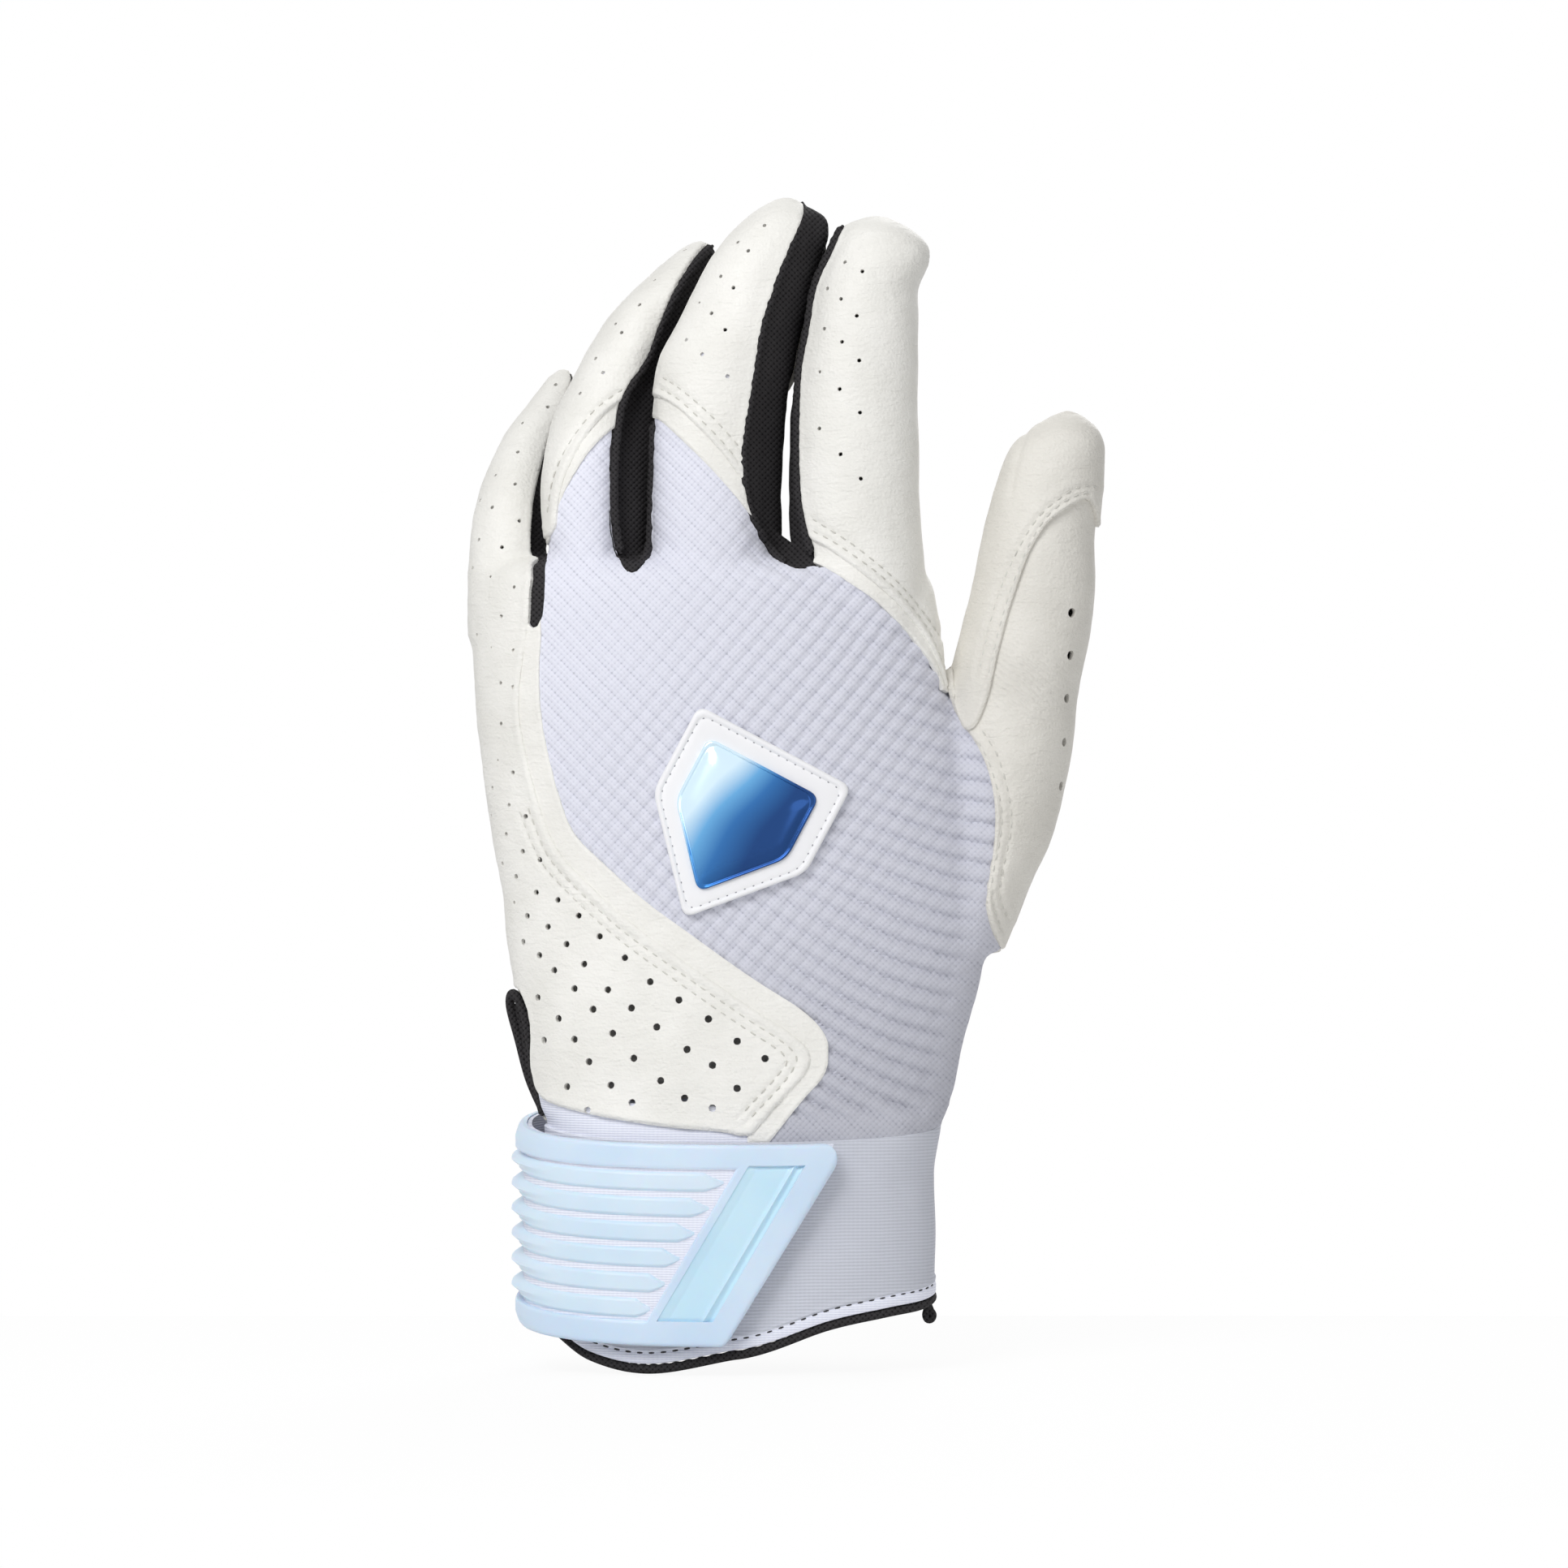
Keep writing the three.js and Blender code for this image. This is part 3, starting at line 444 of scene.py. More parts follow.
# The skins from which the pieces are cut
def hand_rings(low):
    heights = np.r_[np.arange(low, 158, 3.0), 158, 160, 162, 163.5, 165, 166, 166.6]
    shrink = dict(zip(heights[-6:], [0.15, 0.6, 1.3, 3.0, 5.5, 9.0]))
    return tube(lambda angle, z: hand_point(angle, z, -shrink.get(float(z[0]), 0.0)), heights, 120)


def digit_rings(name, low, high=None):
    top = DIGITS[name][-1, 0] * LENGTH
    if high:
        heights = np.arange(low, high, 2.0)
    else:
        heights = np.r_[np.arange(low, top - 7, 1.5), np.linspace(top - 7, top, 16)]
    return tube(lambda angle, z: digit_point(name, angle, z), heights, 72)


VOXEL = 1.15
FINGERS = ("index", "middle", "ring", "little")
SKINS = {}
for name in FINGERS:
    low = {"little": 45, "index": 110}.get(name, 140)
    SKINS[name] = Skin(*remeshed(*merge([hand_rings(low), digit_rings(name, 150)]), VOXEL, 6))
parts = [hand_rings(45)] + [digit_rings(name, 150, 214) for name in FINGERS] + [digit_rings("thumb", 85)]
SKINS["all"] = Skin(*remeshed(*merge(parts), VOXEL, 16))


def back_side(p):
    """Above zero on the back of the hand."""
    cx, a, cy, _ = hand_section(p[:, 2])
    across = (p[:, 0] - cx) / a
    return cy + arch(across, p[:, 2]) - p[:, 1]


def turn_of(name, p):
    """Angle round a digit, in degrees from the thumb side over the back."""
    cx, a, cy, b = digit_section(name, p[:, 2])
    return np.degrees(np.arctan2(-(p[:, 1] - cy) / b, (p[:, 0] - cx) / a))


def ratio_of(name, p):
    cx, a, cy, b = digit_section(name, p[:, 2])
    return np.hypot((p[:, 0] - cx) / a, (p[:, 1] - cy) / b)


def sector(name, p, low, high):
    """Above zero between two angles, in millimetres round the digit."""
    _, a, _, b = digit_section(name, p[:, 2])
    middle, half = (low + high) / 2, (high - low) / 2
    return np.radians(half - apart(turn_of(name, p), middle)) * np.maximum((a + b) / 2, 1.0)


def inside(outline, p):
    """Distance inside one of the photo's outlines, in millimetres."""
    return outline_distance(rounded(mm(outline)), p[:, 0], p[:, 2])


def path_distance(paths, x, z):
    """Distance in the x-z plane from the nearest of some open lines."""
    best = np.full(x.shape, 1e9)
    for path in paths:
        for (ax, az), (bx, bz) in zip(path[:-1], path[1:]):
            near = (x > min(ax, bx) - 3) & (x < max(ax, bx) + 3)
            near &= (z > min(az, bz) - 3) & (z < max(az, bz) + 3)
            if near.any():
                best[near] = np.minimum(best[near], from_segment((ax, az), (bx, bz), x[near], z[near]))
    return best


def waves(p, size, seed):
    """Smooth seeded unevenness between about -1 and 1."""
    rng = np.random.default_rng(seed)
    total = np.zeros(len(p))
    for _ in range(9):
        way = rng.normal(size=3)
        way *= 2 * np.pi / (size * rng.uniform(0.7, 1.6)) / np.linalg.norm(way)
        total += np.sin(p @ way + rng.uniform(0, 7))
    return total / 4.5


# Materials
class Value:
    """A node's output, with which sums are written as with a number."""

    def __init__(self, tree, socket):
        self.tree, self.socket = tree, socket

    def calc(self, operation, *others):
        node = self.tree.nodes.new("ShaderNodeMath")
        node.operation = operation
        for socket, value in zip(node.inputs, (self, *others)):
            feed(self.tree, socket, value)
        return Value(self.tree, node.outputs[0])

    def __add__(self, other):
        return self.calc("ADD", other)

    def __sub__(self, other):
        return self.calc("SUBTRACT", other)

    def __mul__(self, other):
        return self.calc("MULTIPLY", other)


def feed(tree, socket, value):
    """Sets an input, or joins another node's output to it."""
    if isinstance(value, Value):
        tree.links.new(value.socket, socket)
    else:
        socket.default_value = value


class Graph:
    """The node tree of a material or of the world."""

    def __init__(self, tree):
        self.tree = tree
        self.relief = None

    def node(self, kind, output=0, **values):
        """A new node's output; the values go to its inputs, or else to its settings."""
        node = self.tree.nodes.new("ShaderNode" + kind)
        for key, value in values.items():
            if key in node.inputs:
                feed(self.tree, node.inputs[key], value)
            else:
                setattr(node, key, value)
        return Value(self.tree, node.outputs[output])

    def set(self, node="Principled BSDF", **values):
        """Feeds a node that the tree came with, and gives its output."""
        node = self.tree.nodes[node]
        for key, value in values.items():
            feed(self.tree, node.inputs[key.replace("_", " ")], value)
        return Value(self.tree, node.outputs[0])

    def mix(self, share, first, second, output):
        """Sends the mix of two shaders to the tree's end."""
        node = self.tree.nodes.new("ShaderNodeMixShader")
        for socket, value in zip(node.inputs, (share, first, second)):
            feed(self.tree, socket, value)
        self.tree.links.new(node.outputs[0], self.tree.nodes[output].inputs["Surface"])

    def place(self, scale=(1, 1, 1)):
        """The object's own coordinates, scaled."""
        return self.node("Mapping", Vector=self.node("TexCoord", "Object"), Scale=scale)

    def axes(self, where):
        """Across and up."""
        split = self.node("SeparateXYZ", Vector=where).socket.node
        return [Value(self.tree, split.outputs[axis]) for axis in "XZ"]

    def noise(self, scale, detail, where=None, **more):
        return self.node("TexNoise", "Fac", Vector=where or self.place(), Scale=scale, Detail=detail, **more)

    def ramp(self, source, *stops):
        """Runs through the colours of the stops as the source rises."""
        colour = self.node("ValToRGB", Fac=source)
        elements = colour.socket.node.color_ramp.elements
        while len(elements) < len(stops):
            elements.new(0.5)
        for element, (at, tone) in zip(elements, stops):
            element.position = at
            element.color = (*tone, 1)
        return colour

    def bump(self, height, strength, distance):
        """Adds relief to what there is."""
        before = {"Normal": self.relief} if self.relief else {}
        self.relief = self.node("Bump", Height=height, Strength=strength, Distance=distance, **before)
        self.set(Normal=self.relief)


WRINKLES_X, WRINKLES_Z = 0.0605, 0.1415  # where the thumb's fine folds start, in metres


def wrinkles(graph):
    """Fine folds that run off the hem of the thumb's tip."""
    x, z = graph.axes(graph.place())
    x, z = x - WRINKLES_X, z - WRINKLES_Z
    run = x * 3000.0 + z * 4300.0 + graph.noise(180.0, 2.0) * 9.0
    share = ((x * x + z * z).calc("SQRT") * -95.0 + 1.0).calc("MAXIMUM", 0.0)
    graph.bump(run.calc("SINE") * share, 0.35, 0.0003)


def leather_look(graph, light, dark, wrinkled=False):
    """Grain, fine grain, soft folds and level creases."""
    graph.set(Base_Color=graph.ramp(graph.noise(70.0, 4.0), (0.35, dark), (0.65, light)))
    graph.bump(graph.node("TexVoronoi", "Distance", Vector=graph.place(), Scale=1500.0), 0.3, 0.0003)
    graph.bump(graph.noise(2600.0, 3.0), 0.3, 0.0002)
    graph.bump(graph.noise(160.0, 5.0), 0.32, 0.0008)
    graph.bump(graph.noise(260.0, 4.0, graph.place((0.8, 0.8, 3.2)), Distortion=0.8), 0.45, 0.0006)
    if wrinkled:
        wrinkles(graph)
    graph.set(Roughness=graph.ramp(graph.noise(220.0, 3.0), (0.3, (0.5,) * 3), (0.7, (0.68,) * 3)))


# The quilting is laid out in twelfths of a millimetre, right and down from a corner of the photo's frame
QUILT_CORNER = 640
QUILT_X, QUILT_Y = 2.0 * (PHOTO_X - QUILT_CORNER), 2.0 * (PHOTO_Z - QUILT_CORNER)
# Distance, slope and bend of its ribs, and distance and direction of its rows
BEND_AT = 600.0
RIB_STEP, RIB_SLOPE, RIB_BEND = 50.0, 0.7, 0.00045
ROW_STEP, ROW_ACROSS, ROW_DOWN = 38.0, 0.78, 0.62


def furrow_shade(graph):
    """How deep in the furrows of the quilting a point lies, as in quilting(); knit_look() paints shade into
    the furrows with it.
    """
    x, y = graph.axes(graph.place((12000, 12000, -12000)))
    x, y = x + QUILT_X, y + QUILT_Y
    run = x - BEND_AT
    ribs = y - run * RIB_SLOPE + run * run * RIB_BEND
    rows = x * ROW_ACROSS + y * ROW_DOWN
    ribs, rows = ((line * (math.pi / step)).calc("COSINE").calc("ABSOLUTE").calc("POWER", sharp)
                  for line, step, sharp in ((ribs, RIB_STEP, 8.0), (rows, ROW_STEP, 12.0)))
    return ribs + rows * 0.35


def painted_shade_falloff(graph, colour, across, up, base, low=0.0):
    """Painted shade: the knit turns greyer towards the thumb side and the wrist, where less light falls; low:
    how much more near the wrist.
    """
    x, z = graph.axes(graph.place((across, 1, up)))
    share = x + z + base
    if low:
        share = share - (z * -1.0 + 0.1 * up).calc("MAXIMUM", 0.0) * low
    return graph.node("VectorMath", operation="SCALE", Vector=colour, Scale=share)


def knit_look(graph, light, dark, hole, pitch, strength, quilt=False):
    """A fine knit: rows of small dark pinholes between raised loops."""
    across, up = graph.axes(graph.place((1 / pitch, 0.55 / pitch, 1 / pitch)))
    plus, minus = ((line * math.pi).calc("SINE").calc("ABSOLUTE") for line in (across + up, across - up))
    loops = (plus + minus) * 0.5 + graph.noise(1100.0, 4.0) * 0.5
    # Painted shade: with quilt, the knit's colour darkens in the quilting's furrows; the bump sinks them too.
    if quilt:
        loops = loops - furrow_shade(graph) * 0.24
    colour = graph.ramp(loops, (0.26, hole), (0.44, dark), (0.9, light))
    # With quilt, painted shade darkens the knit towards the thumb side and the wrist.
    graph.set(Base_Color=painted_shade_falloff(graph, colour, -1.8, 1.1, 0.735, 2.2) if quilt else colour)
    graph.bump(loops, strength, 0.00025)


def ribbed_look(graph, light, dark, pitch, strength, with_painted_shade=False):
    """Fine level ribs of elastic knit."""
    x, z = graph.axes(graph.place())
    ribs = (z * (2 * math.pi / pitch) + graph.noise(120.0, 2.0) * 3.0).calc("SINE") * 0.5 + 0.5
    loops = (x * (2 * math.pi / 0.0009)).calc("SINE") * 0.12 + ribs
    colour = graph.ramp(loops, (0.1, dark), (0.8, light))
    # With painted shade, the colour darkens towards the thumb side and the wrist.
    graph.set(Base_Color=painted_shade_falloff(graph, colour, -3.5, 1.0, 0.96) if with_painted_shade else colour)
    graph.bump(loops, strength, 0.0003)


def rubber_look(graph, light, dark):
    """A smooth surface with a soft change of tone."""
    graph.set(Base_Color=graph.ramp(graph.noise(45.0, 2.0), (0.35, dark), (0.65, light)))
    graph.bump(graph.noise(1800.0, 2.0), 0.05, 0.0001)


def pile_look(graph, light, dark):
    """Short fuzzy loops."""
    fuzz = graph.noise(1500.0, 5.0, Distortion=1.5)
    graph.set(Base_Color=graph.ramp(fuzz, (0.38, dark), (0.62, light)))
    graph.bump(fuzz, 1.0, 0.0006)


def foil_painted_reflection_look(graph):
    """Blue foil with a painted reflection: its colour runs from dark to nearly white across it."""
    x, z = graph.axes(graph.place())
    slope = z * 26.0 - x * 38.0 - 2.76 + graph.noise(38.0, 1.0) * 0.7
    graph.set(Base_Color=graph.ramp(slope, (0.15, (0.018, 0.065, 0.22)), (0.42, (0.04, 0.17, 0.45)),
                                    (0.64, (0.15, 0.42, 0.75)), (0.88, (0.7, 0.88, 1.0))))


MATERIALS = {}


def material(name, colour, rough, look=None, *tones, **values):
    """A material from its plain values and one of the looks with its tones."""
    MATERIALS[name] = bpy.data.materials.new(name)
    MATERIALS[name].use_nodes = True
    graph = Graph(MATERIALS[name].node_tree)
    graph.set(Base_Color=(*colour, 1), Roughness=rough, **values)
    if look:
        look(graph, *tones)
    return graph


WHITE, WHITE_LOW = (0.86, 0.85, 0.815), (0.80, 0.79, 0.75)
PALM = (0.8, 0.78, 0.72)
SOFT = {"Specular_IOR_Level": 0.5, "Subsurface_Weight": 0.2, "Subsurface_Scale": 0.002}
material("leather", WHITE, 0.6, leather_look, WHITE, WHITE_LOW, Specular_IOR_Level=0.35)
# A darker copy of the leather: painted shade for the thumb, which lies in shade.
material("shaded_leather", (0.74, 0.72, 0.67), 0.6, leather_look,
         (0.76, 0.74, 0.69), (0.69, 0.67, 0.62), True, Specular_IOR_Level=0.35)
material("palm_leather", PALM, 0.65, leather_look, PALM, (0.73, 0.7, 0.64), Specular_IOR_Level=0.3)
# Quilted knit with painted shade: darker in the furrows and towards the thumb side and the wrist.
material("back_knit", (0.74, 0.75, 0.84), 0.85, knit_look,
         (0.80, 0.81, 0.905), (0.73, 0.74, 0.84), (0.58, 0.59, 0.68), 0.0013, 0.5, True,
         Specular_IOR_Level=0.2)
material("black_knit", (0.02, 0.02, 0.022), 0.85, knit_look,
         (0.039, 0.037, 0.039), (0.011, 0.010, 0.011), (0.002, 0.002, 0.002), 0.0012, 1.0,
         Specular_IOR_Level=0.12)
material("hook_pad", (0.55, 0.57, 0.64), 0.7, knit_look,
         (0.62, 0.64, 0.7), (0.5, 0.52, 0.58), (0.3, 0.31, 0.36), 0.0016, 1.0)
# The cuff's knit carries painted shade towards the thumb side and the wrist.
material("cuff_knit", (0.52, 0.55, 0.64), 0.85, ribbed_look,
         (0.68, 0.70, 0.78), (0.59, 0.61, 0.68), 0.00068, 0.28, True, Specular_IOR_Level=0.2)
material("strap_web", (0.78, 0.8, 0.9), 0.7, ribbed_look, (0.86, 0.88, 0.97), (0.73, 0.75, 0.87), 0.0005, 0.3,
         Specular_IOR_Level=0.3)
material("tab_rubber", (0.62, 0.75, 0.9), 0.4, rubber_look, (0.64, 0.77, 0.91), (0.58, 0.72, 0.88),
         **dict(SOFT, Subsurface_Weight=0.25))
material("rib_rubber", (0.58, 0.74, 0.89), 0.4, rubber_look, (0.68, 0.8, 0.91), (0.61, 0.76, 0.89), **SOFT)
material("plate_rubber", (0.42, 0.7, 0.88), 0.35, rubber_look, (0.6, 0.81, 0.93), (0.55, 0.77, 0.91), **SOFT)
# Blue metallic foil; its run from dark to nearly white is painted reflection.
material("badge_film", (0.05, 0.2, 0.5), 0.14, foil_painted_reflection_look, Metallic=0.85)
material("badge_white", (0.85, 0.85, 0.86), 0.45, rubber_look, (0.87, 0.87, 0.89), (0.83, 0.83, 0.85))
# Grey painted shade for the pin holes round the badge.
material("pin_hole", (0.3, 0.3, 0.33), 0.8, rubber_look, (0.34, 0.34, 0.37), (0.25, 0.25, 0.28))
# Stitch thread, darkened with painted shade for the shadow gaps round the stitches.
material("thread", (0.64, 0.63, 0.59), 0.7, rubber_look, (0.68, 0.67, 0.63), (0.56, 0.55, 0.51),
         Specular_IOR_Level=0.3)
material("black_thread", (0.03, 0.03, 0.035), 0.7, rubber_look, (0.035, 0.035, 0.04), (0.02, 0.02, 0.022))
material("loop_pile", (0.6, 0.62, 0.68), 0.95, pile_look, (0.68, 0.7, 0.76), (0.46, 0.48, 0.54),
         Specular_IOR_Level=0.1)
# The floor is white to the camera but for a faint shadow
floor_look = material("floor", (0.95, 0.95, 0.95), 0.9)
floor_look.mix(floor_look.node("LightPath", "Is Camera Ray") * 0.93, floor_look.set(),
               floor_look.node("Emission", Color=(1, 1, 1, 1), Strength=1.0), "Material Output")

# For each digit, a body and the two heights between which its pieces were meant to bend; nothing reads this
# table.
BENDS = {name: (name + "_finger", 163.0, 180.0) for name in FINGERS}
BENDS["thumb"] = ("thumb", 134.0, 156.0)
# The colour slot meant for each material's pieces; the pieces are not given it.
SLOTS = {name: name for name in ("leather", "palm_leather", "back_knit", "black_knit", "cuff_knit",
                                 "strap_web", "tab_rubber", "badge_film")}
SLOTS.update(shaded_leather="leather", badge_white="leather", rib_rubber="tab_rubber",
             plate_rubber="tab_rubber", loop_pile="hook_and_loop", hook_pad="hook_and_loop")


# Pieces
def object_of(name, points, tris, material, smooth=50):
    mesh = bpy.data.meshes.new(name)
    mesh.from_pydata((points * MM).tolist(), [], tris.tolist())
    mesh.polygons.foreach_set("use_smooth", np.ones(len(mesh.polygons), bool))
    mesh.set_sharp_from_angle(angle=math.radians(smooth))
    mesh.materials.append(MATERIALS[material])
    mesh.update()
    obj = bpy.data.objects.new(name, mesh)
    bpy.context.collection.objects.link(obj)
    return obj


def piece(name, points, tris, material, body="hand", bend=None, nodes="", slot=None, smooth=50, second=None,
          flags=None):
    """An object that rides on a body, or that stays where it is without a body when given a bend, in place of
    some nodes.
    """
    obj = object_of(name, points, tris, material, smooth)
    if second:
        obj.data.materials.append(MATERIALS[second])
        obj.data.polygons.foreach_set("material_index", flags)
    if bend:
        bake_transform(obj)
    else:
        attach(obj, body)
    if nodes:
        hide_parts(*nodes.split())
    slot or material in SLOTS
    return obj


# Outlines in the photo's frame, in units of a sixth of a millimetre
MESH = [
    (663, 776), (656, 700), (664, 600), (720, 440), (790, 380), (900, 480), (960, 600), (975, 680),
    (1003, 680), (1085, 728), (1150, 798), (1172, 845), (1181, 891), (1203, 919), (1219, 957), (1226, 999),
    (1224, 1046), (1217, 1089), (1214, 1117), (1222, 1145), (1240, 1180), (1320, 1200), (1320, 1470),
    (880, 1470), (925, 1420), (944, 1397), (985, 1345), (1010, 1320), (1015, 1300), (1015, 1282),
    (1004, 1263), (981, 1243), (943, 1220), (904, 1194), (847, 1153), (790, 1113), (740, 1067), (702, 1033),
    (686, 991), (671, 937), (661, 884), (658, 826)
]
FLAP = [
    (656, 640), (655, 700), (653, 772), (642, 826), (640, 889), (653, 948), (669, 1004), (688, 1050),
    (730, 1092), (780, 1137), (837, 1177), (893, 1216), (934, 1244), (970, 1266), (990, 1282), (999, 1296),
    (996, 1315), (975, 1338), (945, 1371), (930, 1389), (924, 1396), (914, 1394), (895, 1389), (860, 1386),
    (828, 1384), (770, 1376), (723, 1368), (682, 1358), (663, 1348), (655, 1314), (656, 1276), (654, 1255),
    (645, 1228), (636, 1213), (500, 1200), (500, 560), (655, 560)
]
INDEX = [
    (992, 664), (1018, 677), (1042, 694), (1068, 713), (1093, 734), (1115, 756), (1135, 780), (1149, 803),
    (1161, 832), (1167, 856), (1320, 856), (1320, 180), (930, 180), (975, 600)
]
INDEX_TRIM = [
    (970, 640), (988, 690), (1003, 693), (1026, 706), (1047, 721), (1066, 733), (1085, 747), (1106, 767),
    (1124, 786), (1139, 805), (1152, 822), (1160, 838), (1165, 858), (1320, 858), (1320, 560), (970, 560)
]
THUMB = [
    (1166, 845), (1181, 888), (1203, 917), (1219, 955), (1226, 999), (1224, 1046), (1217, 1089),
    (1214, 1117), (1222, 1145), (1240, 1180), (1300, 1230), (1500, 1200), (1500, 300), (1180, 300),
    (1166, 780)
]
TIP = [
    (1400, 660), (1352, 660), (1347, 628), (1339, 614), (1327, 617), (1306, 631), (1292, 642), (1281, 656),
    (1266, 683), (1255, 716), (1240, 763), (1226, 820), (1219, 857), (1203, 898), (1190, 902), (1120, 860),
    (1200, 300), (1450, 300)
]
MIDDLE = [
    (780, 488), (806, 487), (835, 504), (860, 529), (882, 552), (900, 574), (913, 592), (960, 640),
    (1040, 640), (1040, 180), (700, 180)
]
MIDDLE_TRIM = [
    (780, 512), (806, 513), (835, 540), (869, 573), (892, 597), (919, 627), (960, 680), (1040, 680),
    (1040, 180), (700, 180)
]
RING = [
    (800, 474), (776, 485), (757, 500), (739, 517), (722, 540), (706, 567), (695, 592), (687, 624),
    (684, 664), (600, 700), (600, 200), (950, 200)
]
RING_TRIM = [
    (800, 500), (758, 527), (732, 549), (706, 587), (691, 614), (681, 644), (675, 672), (640, 720),
    (580, 700), (600, 200), (950, 200)
]
RING_GUSSET = [
    (880, 285), (866, 298), (850, 320), (833, 350), (815, 390), (803, 420), (797, 441), (772, 476),
    (763, 499), (759, 526), (756, 564), (755, 602), (756, 640), (760, 668), (766, 692), (1000, 692),
    (1000, 285)
]
MIDDLE_GUSSET = [
    (984, 235), (992, 257), (986, 282), (973, 312), (963, 335), (952, 368), (940, 402), (935, 437),
    (925, 498), (919, 537), (916, 556), (918, 593), (923, 627), (932, 646), (946, 669), (959, 686),
    (972, 700), (1200, 700), (1200, 235)
]
INDEX_GUSSET = [
    (1046, 270), (1034, 291), (1026, 312), (1011, 339), (1003, 364), (1000, 393), (995, 421), (986, 460),
    (985, 525), (985, 602), (988, 625), (994, 654), (1000, 673), (1003, 693), (800, 693), (800, 270)
]
WEBS = [
    [
        (755, 560), (755, 602), (756, 640), (760, 664), (764, 688), (771, 703), (779, 707), (788, 704),
        (795, 692), (799, 677), (798, 631), (800, 560)
    ],
    [
        (914, 556), (918, 593), (923, 627), (932, 646), (946, 669), (959, 686), (971, 698), (980, 701),
        (993, 698), (1004, 693), (1000, 673), (994, 654), (988, 625), (985, 602), (985, 556)
    ],
    [
        (652, 580), (652, 690), (649, 730), (650, 768), (658, 777), (667, 770), (672, 740), (672, 640),
        (676, 580)
    ],
]
INDEX_ROWS = [
    [
        (994, 637), (1020, 654), (1047, 671), (1074, 692), (1097, 711), (1118, 732), (1139, 757),
        (1152, 774), (1163, 795)
    ],
    [
        (995, 653), (1022, 667), (1047, 684), (1074, 703), (1099, 724), (1122, 747), (1143, 774),
        (1156, 803), (1168, 835)
    ],
]
MIDDLE_ROWS = [
    [(808, 461), (839, 482), (873, 512), (898, 539), (911, 554), (916, 568)],
    [(806, 476), (835, 493), (863, 520), (886, 543), (904, 564), (916, 577)],
]
RING_ROWS = [
    [(772, 476), (751, 491), (732, 506), (713, 530), (694, 560), (682, 587), (675, 621), (673, 656)],
]
TIP_ROWS = [
    [
        (1353, 601), (1341, 599), (1326, 602), (1312, 610), (1299, 619), (1287, 629), (1277, 640),
        (1267, 654), (1259, 668), (1251, 682), (1244, 698), (1237, 712), (1222, 757), (1209, 812),
        (1203, 845)
    ],
    [
        (1347, 606), (1320, 613), (1310, 620), (1297, 629), (1286, 641), (1272, 662), (1260, 686),
        (1249, 714), (1234, 760), (1220, 817), (1212, 855)
    ],
]
TIP_SEAM = [(1280, 512), (1267, 541), (1256, 573), (1253, 590), (1246, 622)]
FLAP_LIP = [
    (663, 985), (672, 1010), (688, 1050), (730, 1092), (780, 1137), (837, 1177), (893, 1216), (934, 1244),
    (968, 1265), (988, 1282), (996, 1298), (992, 1316), (975, 1340), (950, 1366), (938, 1379), (926, 1393)
]
THUMB_ROWS = [
    [
        (1207, 897), (1219, 915), (1230, 935), (1242, 980), (1246, 1012), (1240, 1045), (1232, 1082),
        (1230, 1105), (1237, 1122), (1247, 1140)
    ],
    [
        (1200, 906), (1216, 935), (1227, 970), (1234, 1002), (1230, 1040), (1222, 1075), (1220, 1100),
        (1227, 1130), (1240, 1154)
    ],
]
PERFORATIONS = {
    "index": [
        (1041, 326), (1062, 338), (1019, 358), (1036, 372), (1055, 393), (1015, 408), (1037, 425),
        (1058, 448), (1009, 461), (1034, 483), (1059, 512), (1009, 531), (1035, 563), (1060, 593)
    ],
    "middle": [
        (935, 270), (942, 281), (909, 301), (922, 313), (888, 344), (904, 359), (861, 375), (877, 390),
        (894, 411), (846, 422), (866, 441), (897, 468)
    ],
    "ring": [
        (843, 302), (805, 340), (787, 373), (757, 396), (765, 408), (733, 440), (743, 459), (714, 484)
    ],
    "little": [
        (680, 466), (671, 495), (639, 515), (635, 553), (607, 582), (633, 594), (589, 614), (605, 624),
        (639, 641), (588, 664), (618, 674), (581, 699), (603, 710), (634, 724), (594, 747), (618, 760),
        (586, 782), (604, 798), (633, 802), (596, 831), (617, 842), (633, 847), (600, 881), (618, 892),
        (594, 918), (612, 937), (633, 952), (605, 971), (627, 992), (649, 1006), (605, 1006), (623, 1028),
        (645, 1049), (667, 1059), (618, 1065), (636, 1080), (662, 1099), (689, 1108), (715, 1127),
        (632, 1112), (651, 1128), (677, 1141), (645, 1160), (700, 1162), (741, 1152), (666, 1176),
        (722, 1186), (772, 1178), (685, 1194), (664, 1228), (710, 1216), (751, 1217), (803, 1207),
        (690, 1253), (733, 1241), (780, 1239), (838, 1229), (672, 1280), (710, 1278), (757, 1270),
        (811, 1262), (874, 1252), (728, 1305), (783, 1300), (848, 1289), (909, 1279), (701, 1336),
        (755, 1333), (816, 1327), (879, 1308), (943, 1300), (726, 1364), (781, 1354), (845, 1348),
        (909, 1336), (879, 1360)
    ],
    "thumb": [(1324, 756), (1322, 808), (1319, 861), (1317, 915), (1312, 969)],
}


def moved(path, distance):
    """A line shifted sideways, in the photo's units."""
    path = np.asarray(path, float)
    return path + distance * unit(np.stack([-np.gradient(path[:, 1]), np.gradient(path[:, 0])], 1))


FLAP_ROWS = [moved(FLAP_LIP, 14), moved(FLAP_LIP, 25)]


def thickened(points, tris, n, thick):
    """Outer skin, inner skin and the rim between them."""
    count = len(points)
    both = np.concatenate([points, points - n * thick])
    directed = np.concatenate([tris[:, [0, 1]], tris[:, [1, 2]], tris[:, [2, 0]]])
    key = np.sort(directed, 1)
    _, back, number = np.unique(key, axis=0, return_inverse=True, return_counts=True)
    rim = directed[number[back.ravel()] == 1]
    a, b = rim[:, 0], rim[:, 1]
    side = np.concatenate([np.stack([b, a, a + count], 1), np.stack([b, a + count, b + count], 1)])
    return both, np.concatenate([tris, tris[:, ::-1] + count, side])


SURFACES = {}


